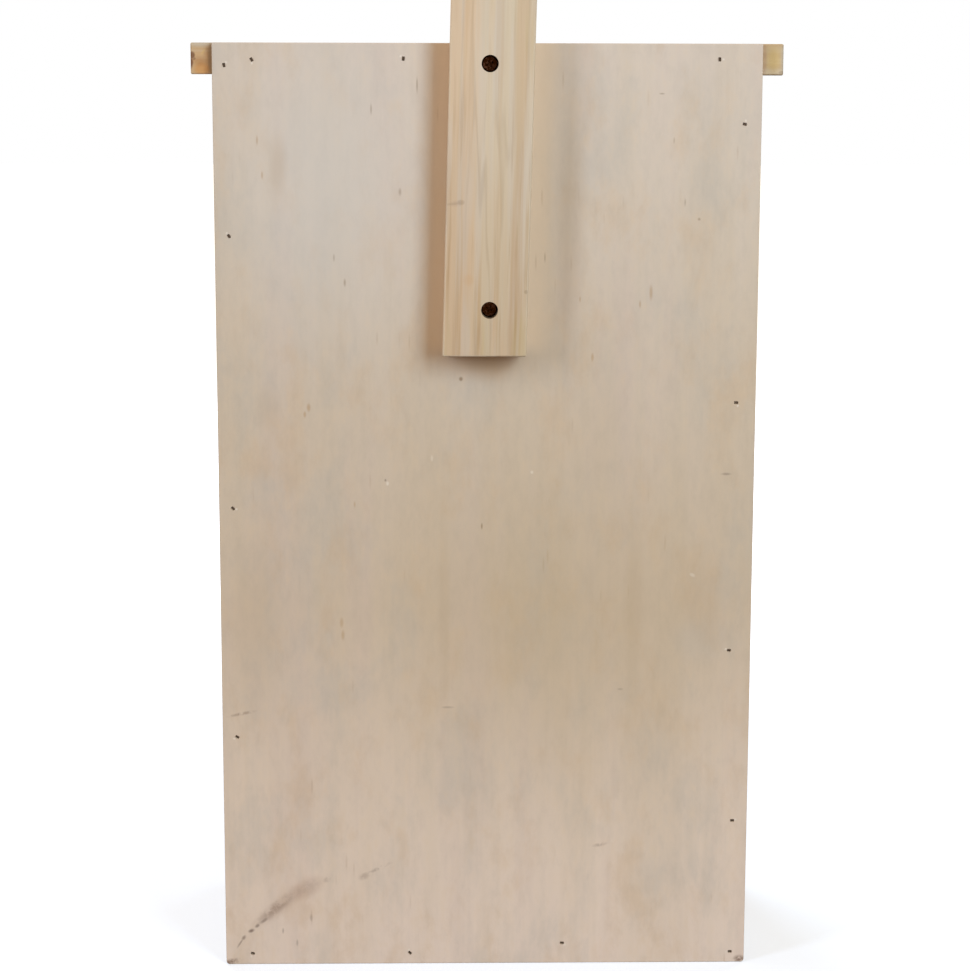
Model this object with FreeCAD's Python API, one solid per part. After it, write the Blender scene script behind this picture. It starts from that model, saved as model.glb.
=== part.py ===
import FreeCAD, Part
import math
import os

from FreeCAD import Placement, Rotation, Vector

# Bee hotel: a nailed board case with a plywood back, a hanging batten and a nest filling.
# Millimetres, +Z up. The nest holes face -Y, the back panel and the batten are at +Y.
# The origin is the middle of the footprint, on the surface that the case stands on.

# Back panel
PANEL_WIDTH = 300.0
PANEL_HEIGHT = 525.0
PANEL_THICKNESS = 6.0
PANEL_CORNER_RADIUS = 2.0

# Case boards, all cut from one plank
BOARD_THICKNESS = 17.0
CASE_DEPTH = 150.0
ROOF_SIDE_OVERHANG = 12.0
ROOF_FRONT_OVERHANG = 20.0
SHELF_SETBACK = 3.0
UPPER_SHELF_DROP = 143.5
DIVIDER_THICKNESS = 12.0
CANE_BAY_WIDTH = 106.0

# Hanging batten, a little out of plumb
BATTEN_WIDTH = 46.0
BATTEN_THICKNESS = 20.0
BATTEN_LENGTH = 250.0
BATTEN_OVERLAP = 169.0
BATTEN_TILT = 1.4
BATTEN_PLUMB_DROP = 89.0
HANGING_HOLE_DIAMETER = 6.5
HANGING_HOLE_DROP = 24.0

# Wood screws that hold the batten, sunk in counterbored holes
SCREW_SIDE = -0.8
SCREW_ROOF_OFFSET = 2.5
SCREW_HEAD_DIAMETER = 8.4
SCREW_HEAD_HEIGHT = 2.6
SCREW_SHANK_DIAMETER = 4.0
SCREW_LENGTH = 45.0
SCREW_TIP_LENGTH = 5.0
SCREW_TIP_DIAMETER = 1.0
SCREW_HOLE_CLEARANCE = 0.25
COUNTERBORE_CLEARANCE = 0.4
COUNTERBORE_DEPTH = 11.0

# Brads, driven a little below the surface
BRAD_LENGTH = 30.0
BRAD_WIDTH = 2.2
BRAD_DEPTH = 1.4
BRAD_SINK = 1.0

# Brads of the panel: distance along the board edge, offset from its middle, turn of the head.
# A negative distance counts from the far end. Across runs from -X to +X, upright runs from the bottom up.
ROOF_EDGE_BRADS = ((23.7, 0.1, 90), (-104.0, 0.1, 85), (-21.6, -0.6, -60), (-6.6, -3.6, -80))
FLOOR_EDGE_BRADS = ((8.2, -2.1, 0), (105.8, 3.6, -5), (-106.1, -2.0, -45), (-15.3, -1.9, -15))
LEFT_EDGE_BRADS = ((85.5, -0.1, 0), (186.0, 3.7, -5), (-197.0, 2.4, -5), (-43.3, 0.8, -15))
RIGHT_EDGE_BRADS = ((136.0, 0.3, -30), (-256.7, 0.7, -45), (-104.7, 0.6, -60))

# Brads of the case: the front ones by their distance from the front edge of the case,
# the rear ones by the room they leave past the points of the panel's brads
CASE_BRAD_FRONT = 22.0
CASE_BRAD_ROOM = 6.0

# Nest filling. Its many round sections are drawn with few sides.
FILL_RECESS = 16.0
FILL_GAP = 0.1
TUNNEL_END_WALL = 18.0
TUNNEL_SIDES = 12
CANE_SIDES = 16
LOG_SIDES = 24

# Bamboo canes, closed at the rear by a natural knot
CANE_DIAMETER_MIN = 16.0
CANE_DIAMETER_MAX = 25.0
CANE_BORE_MIN = 5.0
CANE_BORE_MAX = 10.5
CANE_KNOT = 12.0
CANE_SETBACK_MAX = 5.0

# Drilled blocks of the middle tier and beside the canes
BLOCK_COUNT = 3
BLOCK_HEADROOM = 0.8
BLOCK_ROWS = 7
BLOCK_COLUMNS = 3
BLOCK_TUNNELS = (4.0, 5.5, 3.5, 5.0, 8.0, 4.5, 5.5, 3.0, 5.0)
ATTIC_ROWS = 5
ATTIC_COLUMNS = 2
ATTIC_TUNNELS = (4.0, 5.5, 5.0, 3.5, 4.5)
TUNNEL_MARGIN = 15.0

# Log sections of the bottom tier
LOG_DIAMETERS = (88.0, 74.0, 86.0, 70.0, 78.0, 66.0, 46.0, 34.0, 28.0, 24.0, 36.0, 25.0, 26.0)
LOG_TUNNELS = (5.0, 4.0, 5.5, 3.5, 4.5)
LOG_TUNNEL_AREA = 520.0
LOG_TUNNEL_MARGIN = 11.0

# Steps that spread sizes and places evenly without a visible repeat
GOLDEN_STEP = 0.618034
GOLDEN_ANGLE = 137.508
TOUCH = 1e-6

# Places that follow from the sizes above
BATTEN_BACK = (ROOF_FRONT_OVERHANG + CASE_DEPTH + PANEL_THICKNESS + BATTEN_THICKNESS) / 2
PANEL_BACK = BATTEN_BACK - BATTEN_THICKNESS
PANEL_FRONT = PANEL_BACK - PANEL_THICKNESS
CASE_FRONT = PANEL_FRONT - CASE_DEPTH
SHELF_FRONT = CASE_FRONT + SHELF_SETBACK
FILL_FRONT = CASE_FRONT + FILL_RECESS
FILL_DEPTH = CASE_DEPTH - FILL_RECESS
HALF_WIDTH = PANEL_WIDTH / 2
HALF_INSIDE = HALF_WIDTH - BOARD_THICKNESS
FLOOR_TOP = BOARD_THICKNESS
ROOF_UNDERSIDE = PANEL_HEIGHT - BOARD_THICKNESS
UPPER_SHELF_MIDDLE = PANEL_HEIGHT - UPPER_SHELF_DROP
UPPER_SHELF_BOTTOM = UPPER_SHELF_MIDDLE - BOARD_THICKNESS / 2
UPPER_SHELF_TOP = UPPER_SHELF_MIDDLE + BOARD_THICKNESS / 2
LOWER_SHELF_MIDDLE = (FLOOR_TOP + UPPER_SHELF_BOTTOM) / 2
LOWER_SHELF_BOTTOM = LOWER_SHELF_MIDDLE - BOARD_THICKNESS / 2
LOWER_SHELF_TOP = LOWER_SHELF_MIDDLE + BOARD_THICKNESS / 2
DIVIDER_INNER = CANE_BAY_WIDTH / 2
DIVIDER_OUTER = DIVIDER_INNER + DIVIDER_THICKNESS
BATTEN_FOOT = PANEL_HEIGHT - BATTEN_OVERLAP
ROOF_EDGE_MIDDLE = PANEL_HEIGHT - BOARD_THICKNESS / 2
FLOOR_EDGE_MIDDLE = BOARD_THICKNESS / 2
SIDE_EDGE_MIDDLE = HALF_WIDTH - BOARD_THICKNESS / 2
FRONT_BRAD = CASE_FRONT + CASE_BRAD_FRONT
REAR_BRAD = PANEL_BACK - BRAD_SINK - BRAD_LENGTH - CASE_BRAD_ROOM
MIDDLE_BRAD = (FRONT_BRAD + REAR_BRAD) / 2


def box_between(low, high):
    """A box from its lowest corner to its highest."""
    size = high - low
    return Part.makeBox(size.x, size.y, size.z, low)


def drill(point, diameter, depth):
    """A round bore that starts at the point and runs towards +Y."""
    return Part.makeCylinder(diameter / 2, depth, point, Vector(0, 1, 0))


def rod(point, diameter, depth, sides):
    """A many-sided rod that starts at the point and runs towards +Y, with its corners on the diameter."""
    corners = []
    for index in range(sides + 1):
        angle = 2 * math.pi * index / sides
        corners.append(point + Vector(math.cos(angle), 0, math.sin(angle)) * (diameter / 2))
    return Part.Face(Part.makePolygon(corners)).extrude(Vector(0, depth, 0))


def tunnel(mouth, diameter, depth):
    """A blind nest tunnel whose sides clear its full diameter."""
    return rod(mouth, diameter / math.cos(math.pi / TUNNEL_SIDES), depth, TUNNEL_SIDES)


def along_edge(distance, length):
    """A place along an edge, where a negative distance counts from the far end."""
    return distance if distance > 0 else length + distance


def spread(index, low, high):
    """The value of one member of an evenly mixed set between two limits."""
    return low + (high - low) * ((index + 1) * GOLDEN_STEP % 1.0)


# Brads and screws


def brad_to_height(place, top):
    """A headless brad from its buried end up to the given height over the surface."""
    low = Vector(-BRAD_WIDTH / 2, -BRAD_DEPTH / 2, -BRAD_SINK - BRAD_LENGTH)
    brad = box_between(low, Vector(BRAD_WIDTH / 2, BRAD_DEPTH / 2, top))
    brad.Placement = place
    return brad


def brad_solid(place):
    """One brad, driven below the surface that its place lies on."""
    return brad_to_height(place, -BRAD_SINK)


def brad_pocket(place):
    """The hole that a brad leaves, open up to the surface."""
    return brad_to_height(place, 0.0)


def brad_place(point, outward, turn):
    """The place of a brad whose surface point and outward direction are given."""
    spin = Rotation(Vector(0, 0, 1), turn)
    return Placement(point, Rotation(Vector(0, 0, 1), outward).multiply(spin))


def panel_brad_places():
    """Brads through the panel into the rear edges of the boards behind it."""
    points = []
    for distance, offset, turn in ROOF_EDGE_BRADS:
        across = along_edge(distance, PANEL_WIDTH) - HALF_WIDTH
        points.append((across, ROOF_EDGE_MIDDLE + offset, turn))
    for distance, offset, turn in FLOOR_EDGE_BRADS:
        across = along_edge(distance, PANEL_WIDTH) - HALF_WIDTH
        points.append((across, FLOOR_EDGE_MIDDLE + offset, turn))
    for distance, offset, turn in LEFT_EDGE_BRADS:
        points.append((-SIDE_EDGE_MIDDLE + offset, along_edge(distance, PANEL_HEIGHT), turn))
    for distance, offset, turn in RIGHT_EDGE_BRADS:
        points.append((SIDE_EDGE_MIDDLE + offset, along_edge(distance, PANEL_HEIGHT), turn))
    back = Vector(0, 1, 0)
    return [brad_place(Vector(x, PANEL_BACK, z), back, turn) for x, z, turn in points]


def roof_brad_places():
    """Brads down through the roof into the side boards and the dividers."""
    up = Vector(0, 0, 1)
    middle = (DIVIDER_INNER + DIVIDER_OUTER) / 2
    places = []
    for across in (-SIDE_EDGE_MIDDLE, -middle, middle, SIDE_EDGE_MIDDLE):
        for depth in (FRONT_BRAD, REAR_BRAD):
            places.append(brad_place(Vector(across, depth, PANEL_HEIGHT), up, 0))
    return places


def side_brad_places():
    """Brads through the side boards into the ends of the shelves."""
    places = []
    for side in (-1, 1):
        outward = Vector(side, 0, 0)
        for height in (LOWER_SHELF_MIDDLE, UPPER_SHELF_MIDDLE):
            for depth in (FRONT_BRAD, REAR_BRAD):
                point = Vector(side * HALF_WIDTH, depth, height)
                places.append(brad_place(point, outward, 0))
    return places


def floor_brad_places():
    """Brads up through the floor into the side boards."""
    down = Vector(0, 0, -1)
    places = []
    for across in (-SIDE_EDGE_MIDDLE, SIDE_EDGE_MIDDLE):
        for depth in (FRONT_BRAD, MIDDLE_BRAD, REAR_BRAD):
            places.append(brad_place(Vector(across, depth, 0), down, 0))
    return places


def screw_heights():
    """Heights of the two screws, one in the roof's rear edge and one in the upper shelf's."""
    return (ROOF_EDGE_MIDDLE - SCREW_ROOF_OFFSET, UPPER_SHELF_MIDDLE)


def screw_seat():
    """The depth position of the counterbore's floor, where the screw head bears."""
    return BATTEN_BACK - COUNTERBORE_DEPTH


def screw_solid(height):
    """A wood screw with a flat-bottomed head and a pointed tip, turned about its axis."""
    head = SCREW_HEAD_DIAMETER / 2
    shank = SCREW_SHANK_DIAMETER / 2
    profile = Part.makePolygon([
        Vector(0, 0, SCREW_HEAD_HEIGHT),
        Vector(head, 0, SCREW_HEAD_HEIGHT),
        Vector(head, 0, 0),
        Vector(shank, 0, 0),
        Vector(shank, 0, SCREW_TIP_LENGTH - SCREW_LENGTH),
        Vector(SCREW_TIP_DIAMETER / 2, 0, -SCREW_LENGTH),
        Vector(0, 0, -SCREW_LENGTH),
        Vector(0, 0, SCREW_HEAD_HEIGHT),
    ])
    screw = Part.Face(profile).revolve(Vector(0, 0, 0), Vector(0, 0, 1), 360)
    point = Vector(SCREW_SIDE, screw_seat(), height)
    screw.Placement = Placement(point, Rotation(Vector(0, 0, 1), Vector(0, 1, 0)))
    return screw


def screw_hole(height, start, end):
    """The clear hole for a screw's shank between two depth positions."""
    diameter = SCREW_SHANK_DIAMETER + 2 * SCREW_HOLE_CLEARANCE
    return drill(Vector(SCREW_SIDE, start, height), diameter, end - start)


# Case and batten


def back_panel(brads):
    """The plywood back with its worn lower corners, brad slots and screw holes."""
    low = Vector(-HALF_WIDTH, PANEL_FRONT, 0)
    panel = box_between(low, Vector(HALF_WIDTH, PANEL_BACK, PANEL_HEIGHT))
    corners = [edge for edge in panel.Edges if is_lower_corner(edge)]
    panel = panel.makeFillet(PANEL_CORNER_RADIUS, corners)
    holes = [screw_hole(height, PANEL_FRONT, PANEL_BACK) for height in screw_heights()]
    return panel.cut(brads + holes)


def is_lower_corner(edge):
    """True for an edge that runs through the panel's thickness at its bottom."""
    ends = [vertex.Point for vertex in edge.Vertexes]
    return all(abs(end.z) < TOUCH for end in ends) and abs(ends[0].y - ends[1].y) > TOUCH


def side_board(side, brads):
    """A side board between the floor and the roof."""
    inner, outer = sorted((side * HALF_INSIDE, side * HALF_WIDTH))
    low = Vector(inner, CASE_FRONT, FLOOR_TOP)
    return box_between(low, Vector(outer, PANEL_FRONT, ROOF_UNDERSIDE)).cut(brads)


def floor_board(brads):
    """The floor board, under both sides."""
    low = Vector(-HALF_WIDTH, CASE_FRONT, 0)
    return box_between(low, Vector(HALF_WIDTH, PANEL_FRONT, FLOOR_TOP)).cut(brads)


def roof_board(brads, screws):
    """The roof board, which stands out past both sides and the front."""
    reach = HALF_WIDTH + ROOF_SIDE_OVERHANG
    low = Vector(-reach, CASE_FRONT - ROOF_FRONT_OVERHANG, ROOF_UNDERSIDE)
    return box_between(low, Vector(reach, PANEL_FRONT, PANEL_HEIGHT)).cut(brads + screws)


def shelf(bottom, top, cutters):
    """A shelf between the side boards."""
    low = Vector(-HALF_INSIDE, SHELF_FRONT, bottom)
    return box_between(low, Vector(HALF_INSIDE, PANEL_FRONT, top)).cut(cutters)


def attic_divider(side, brads):
    """An upright board beside the canes, between the upper shelf and the roof."""
    inner, outer = sorted((side * DIVIDER_INNER, side * DIVIDER_OUTER))
    low = Vector(inner, SHELF_FRONT, UPPER_SHELF_TOP)
    return box_between(low, Vector(outer, PANEL_FRONT, ROOF_UNDERSIDE)).cut(brads)


def hanging_batten():
    """The batten on the panel, its foot sawn level, with its hanging hole and two counterbored screw holes."""
    low = Vector(-BATTEN_WIDTH / 2, PANEL_BACK, BATTEN_FOOT - BATTEN_WIDTH)
    head = BATTEN_FOOT + BATTEN_LENGTH
    batten = box_between(low, Vector(BATTEN_WIDTH / 2, BATTEN_BACK, head))
    hook = Vector(0, PANEL_BACK, head - HANGING_HOLE_DROP)
    batten = batten.cut(drill(hook, HANGING_HOLE_DIAMETER, BATTEN_THICKNESS))
    plumb_point = Vector(0, 0, PANEL_HEIGHT - BATTEN_PLUMB_DROP)
    batten.rotate(plumb_point, Vector(0, 1, 0), -BATTEN_TILT)
    waste_low = Vector(-BATTEN_LENGTH, PANEL_BACK, BATTEN_FOOT - BATTEN_LENGTH)
    waste = box_between(waste_low, Vector(BATTEN_LENGTH, BATTEN_BACK, BATTEN_FOOT))
    wide = SCREW_HEAD_DIAMETER + 2 * COUNTERBORE_CLEARANCE
    holes = []
    for height in screw_heights():
        holes.append(screw_hole(height, PANEL_BACK, BATTEN_BACK))
        seat = Vector(SCREW_SIDE, screw_seat(), height)
        holes.append(drill(seat, wide, COUNTERBORE_DEPTH))
    return batten.cut(holes + [waste])


# Nest filling


def stack_round(width, height, diameters):
    """Stack round pieces in a bay, each at the lowest free place. Returns (across, up, diameter)."""
    placed = []
    for diameter in diameters:
        radius = diameter / 2 + FILL_GAP
        spots = [spot for spot in resting_spots(width, radius, placed)
                 if is_free(spot, radius, width, height, placed)]
        if spots:
            across, up = min(spots, key=lambda spot: (round(spot[1], 3), spot[0]))
            placed.append((across, up, radius))
    return [(across, up, 2 * (radius - FILL_GAP)) for across, up, radius in placed]


def resting_spots(width, radius, placed):
    """Places where a round piece touches two of the floor, the walls and the pieces already there."""
    walls = (radius, width - radius)
    spots = [(wall, radius) for wall in walls]
    for across, up, other in placed:
        reach = radius + other
        drop = reach ** 2 - (up - radius) ** 2
        if drop >= 0:
            spots += [(across - math.sqrt(drop), radius), (across + math.sqrt(drop), radius)]
        for wall in walls:
            rise = reach ** 2 - (across - wall) ** 2
            if rise >= 0:
                spots.append((wall, up + math.sqrt(rise)))
    for index, first in enumerate(placed):
        for second in placed[index + 1:]:
            spots += spots_on_pair(radius, first, second)
    return spots


def spots_on_pair(radius, first, second):
    """Places where a round piece touches two others."""
    run, rise = second[0] - first[0], second[1] - first[1]
    apart = math.hypot(run, rise)
    near, far = radius + first[2], radius + second[2]
    if apart > near + far:
        return []
    along = (near ** 2 - far ** 2 + apart ** 2) / (2 * apart)
    side = math.sqrt(max(near ** 2 - along ** 2, 0.0))
    foot = (first[0] + run * along / apart, first[1] + rise * along / apart)
    step = (-rise * side / apart, run * side / apart)
    return [(foot[0] + step[0], foot[1] + step[1]), (foot[0] - step[0], foot[1] - step[1])]


def is_free(spot, radius, width, height, placed):
    """True where a round piece lies inside its bay and clear of the others."""
    across, up = spot
    if min(across, width - across, up, height - up) < radius - TOUCH:
        return False
    return all(math.hypot(across - x, up - z) > radius + other - TOUCH for x, z, other in placed)


def cane_plan():
    """Mouth, outer diameter, bore and length of each cane between the dividers."""
    height = ROOF_UNDERSIDE - UPPER_SHELF_TOP
    most = int(CANE_BAY_WIDTH * height / CANE_DIAMETER_MIN ** 2)
    diameters = [spread(index, CANE_DIAMETER_MIN, CANE_DIAMETER_MAX) for index in range(most)]
    stack = stack_round(CANE_BAY_WIDTH, height, diameters)
    for index, (across, up, diameter) in enumerate(stack):
        setback = spread(index, 0.0, CANE_SETBACK_MAX)
        bore = spread(2 * index, CANE_BORE_MIN, CANE_BORE_MAX)
        mouth = Vector(across - DIVIDER_INNER, FILL_FRONT + setback, UPPER_SHELF_TOP + up)
        yield mouth, diameter, bore, FILL_DEPTH - setback


def bamboo_cane(mouth, diameter, bore, length):
    """A cane with a blind bore, closed at the rear by its knot."""
    hollow = tunnel(mouth, bore, length - CANE_KNOT)
    return rod(mouth, diameter, length, CANE_SIDES).cut(hollow)


def tunnel_rows(rows, columns):
    """Places of staggered tunnels as shares of a block's face: full rows, then rows between them."""
    for row in range(rows):
        count = columns - row % 2
        first = row % 2 / 2
        for column in range(count):
            yield (column + first) / (columns - 1), row / (rows - 1)


def block_tunnels(low, high, rows, columns, diameters, first):
    """Mouth, diameter and depth of the tunnels of a block, whose sizes follow each other in turn."""
    for index, (across, up) in enumerate(tunnel_rows(rows, columns)):
        x = low.x + TUNNEL_MARGIN + across * (high.x - low.x - 2 * TUNNEL_MARGIN)
        z = low.z + TUNNEL_MARGIN + up * (high.z - low.z - 2 * TUNNEL_MARGIN)
        diameter = diameters[(first + index) % len(diameters)]
        yield Vector(x, low.y, z), diameter, high.y - low.y - TUNNEL_END_WALL


def drilled_block(low, high, rows, columns, diameters, first):
    """A block with staggered blind tunnels."""
    plan = block_tunnels(low, high, rows, columns, diameters, first)
    return box_between(low, high).cut([tunnel(*hole) for hole in plan])


def nest_block_plan():
    """Corners and first tunnel of each block on the lower shelf."""
    pitch = 2 * HALF_INSIDE / BLOCK_COUNT
    for index in range(BLOCK_COUNT):
        left = -HALF_INSIDE + index * pitch
        low = Vector(left + FILL_GAP, FILL_FRONT, LOWER_SHELF_TOP)
        high = Vector(left + pitch - FILL_GAP, PANEL_FRONT, UPPER_SHELF_BOTTOM - BLOCK_HEADROOM)
        yield low, high, BLOCK_ROWS, BLOCK_COLUMNS, BLOCK_TUNNELS, 2 * index


def attic_block(side, first):
    """A block between a divider and a side board."""
    inner, outer = sorted((side * (DIVIDER_OUTER + FILL_GAP), side * (HALF_INSIDE - FILL_GAP)))
    low = Vector(inner, FILL_FRONT, UPPER_SHELF_TOP)
    high = Vector(outer, PANEL_FRONT, ROOF_UNDERSIDE - BLOCK_HEADROOM)
    return drilled_block(low, high, ATTIC_ROWS, ATTIC_COLUMNS, ATTIC_TUNNELS, first)


def log_section(mouth, diameter, first):
    """A drilled log section, with its tunnels in a spiral that leaves no bare patch."""
    reach = max(diameter / 2 - LOG_TUNNEL_MARGIN, 0.0)
    count = max(1, round(math.pi * reach ** 2 / LOG_TUNNEL_AREA))
    tunnels = []
    for index in range(count):
        radius = reach * math.sqrt((index + 0.5) / count)
        angle = math.radians(index * GOLDEN_ANGLE + first)
        point = mouth + Vector(radius * math.cos(angle), 0, radius * math.sin(angle))
        size = LOG_TUNNELS[(first + index) % len(LOG_TUNNELS)]
        tunnels.append(tunnel(point, size, FILL_DEPTH - TUNNEL_END_WALL))
    return rod(mouth, diameter, FILL_DEPTH, LOG_SIDES).cut(tunnels)


def log_sections():
    """The log sections stacked on the floor."""
    width, height = 2 * HALF_INSIDE, LOWER_SHELF_BOTTOM - FLOOR_TOP
    logs = []
    for index, (across, up, diameter) in enumerate(stack_round(width, height, LOG_DIAMETERS)):
        mouth = Vector(across - HALF_INSIDE, FILL_FRONT, FLOOR_TOP + up)
        logs.append(log_section(mouth, diameter, index))
    return logs


def numbered(name, shapes):
    """Node names for a run of like pieces."""
    return {f"{name}_{index:02d}": shape for index, shape in enumerate(shapes, 1)}


def bee_hotel():
    """Every node of the bee hotel by name."""
    places = {
        "panel_brads": panel_brad_places(),
        "roof_brads": roof_brad_places(),
        "side_brads": side_brad_places(),
        "floor_brads": floor_brad_places(),
    }
    pockets = {name: [brad_pocket(place) for place in group] for name, group in places.items()}
    panel, roof = pockets["panel_brads"], pockets["roof_brads"]
    side, floor = pockets["side_brads"], pockets["floor_brads"]
    screws = [screw_solid(height) for height in screw_heights()]
    nodes = {
        "back_panel": back_panel(panel),
        "left_side_board": side_board(-1, panel + roof + side + floor),
        "right_side_board": side_board(1, panel + roof + side + floor),
        "floor_board": floor_board(panel + floor),
        "roof_board": roof_board(panel + roof, screws),
        "upper_shelf": shelf(UPPER_SHELF_BOTTOM, UPPER_SHELF_TOP, side + screws),
        "lower_shelf": shelf(LOWER_SHELF_BOTTOM, LOWER_SHELF_TOP, side),
        "left_attic_divider": attic_divider(-1, roof),
        "right_attic_divider": attic_divider(1, roof),
        "hanging_batten": hanging_batten(),
        "batten_screws": Part.Compound(screws),
        "left_attic_block": attic_block(-1, 0),
        "right_attic_block": attic_block(1, 2),
    }
    for name, group in places.items():
        nodes[name] = Part.Compound([brad_solid(place) for place in group])
    nodes.update(numbered("nest_block", [drilled_block(*plan) for plan in nest_block_plan()]))
    nodes.update(numbered("log_section", log_sections()))
    nodes.update(numbered("bamboo_cane", [bamboo_cane(*plan) for plan in cane_plan()]))
    return nodes


def main():
    """Write one STEP file for each node."""
    os.makedirs("parts", exist_ok=True)
    for name, shape in bee_hotel().items():
        shape.exportStep(f"parts/{name}.step")


main()
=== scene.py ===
"""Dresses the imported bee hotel: a nailed pine case, a plywood back, a hanging batten and a nest filling.

Metres, +Z up. The nest side faces -Y, the plywood back and the batten face +Y.
"""

from __future__ import annotations

import logging
import math
import random
from dataclasses import dataclass
from enum import Enum
from typing import Any, Iterable, Sequence, Union

import bmesh
import bpy
from mathutils import Matrix, Vector

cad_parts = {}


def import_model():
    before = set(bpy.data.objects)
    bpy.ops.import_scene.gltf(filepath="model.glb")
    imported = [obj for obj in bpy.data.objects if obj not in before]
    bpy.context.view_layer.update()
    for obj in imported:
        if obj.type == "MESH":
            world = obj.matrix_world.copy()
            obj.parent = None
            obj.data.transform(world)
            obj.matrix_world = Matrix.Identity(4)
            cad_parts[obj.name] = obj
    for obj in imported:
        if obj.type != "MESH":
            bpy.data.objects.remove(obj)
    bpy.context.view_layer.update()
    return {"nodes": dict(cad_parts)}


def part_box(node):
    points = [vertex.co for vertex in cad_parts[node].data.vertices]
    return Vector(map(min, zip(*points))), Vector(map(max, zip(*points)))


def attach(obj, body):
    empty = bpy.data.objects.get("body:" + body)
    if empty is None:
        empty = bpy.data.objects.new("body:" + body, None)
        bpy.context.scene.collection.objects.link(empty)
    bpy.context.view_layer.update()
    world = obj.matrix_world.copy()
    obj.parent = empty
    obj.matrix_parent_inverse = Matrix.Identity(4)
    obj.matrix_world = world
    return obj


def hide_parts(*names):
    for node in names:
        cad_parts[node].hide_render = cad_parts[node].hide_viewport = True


LOG = logging.getLogger("bee_hotel")
MM = 0.001

# Points that count as one, and the edges that are eased
TINY = 1e-6
WELD = 5e-6
FLAT_ANGLE = math.radians(0.2)
SHARP_ANGLE = math.radians(60)
RIM_EASE = 0.25 * MM
EDGE_REACH = 0.7 * MM
LONG_EDGE = 12 * MM

# The batten's lean, and its screws in millimetres on the back
BATTEN_LEAN = 0.0244
SCREW_SIDE = -0.8
SCREW_HEIGHTS = (514.0, 381.5)

# The share of a log's radius where its bark begins
BARK_SHARE = 0.93

Colour = tuple[float, float, float, float]
Number = Union["Wire", float]
Place = tuple[Number, Number, Number]
Steps = Sequence[tuple["Form", dict[str, Any]]]


def srgb(red: float, green: float, blue: float) -> Colour:
    """Turns a screen colour into a linear one by the sRGB curve.

    Args:
        red: The red part, from 0 to 255.
        green: The green part.
        blue: The blue part.

    Returns:
        The linear colour.
    """
    shares = (red / 255, green / 255, blue / 255)
    linear = [s / 12.92 if s <= 0.04045 else ((s + 0.055) / 1.055) ** 2.4 for s in shares]
    return (*linear, 1.0)


class Wire:
    """A node's output that takes part in Python expressions on values."""

    def __init__(self, bench: "Bench", socket: bpy.types.NodeSocket) -> None:
        """Keeps the socket and the bench that adds nodes to its tree."""
        self.bench = bench
        self.socket = socket

    def __add__(self, other: Number) -> "Wire":
        """The sum of two values."""
        return self.bench.math("ADD", self, other)

    def __sub__(self, other: Number) -> "Wire":
        """The difference of two values."""
        return self.bench.math("SUBTRACT", self, other)

    def __rsub__(self, other: Number) -> "Wire":
        """A plain number less this value."""
        return self.bench.math("SUBTRACT", other, self)

    def __mul__(self, other: Number) -> "Wire":
        """The product of two values."""
        return self.bench.math("MULTIPLY", self, other)

    def __truediv__(self, other: Number) -> "Wire":
        """The quotient of two values."""
        return self.bench.math("DIVIDE", self, other)

    def __rtruediv__(self, other: Number) -> "Wire":
        """A plain number divided by this value."""
        return self.bench.math("DIVIDE", other, self)

    def __abs__(self) -> "Wire":
        """The size of the value without its sign."""
        return self.bench.math("ABSOLUTE", self)

    __radd__ = __add__
    __rmul__ = __mul__


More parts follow.
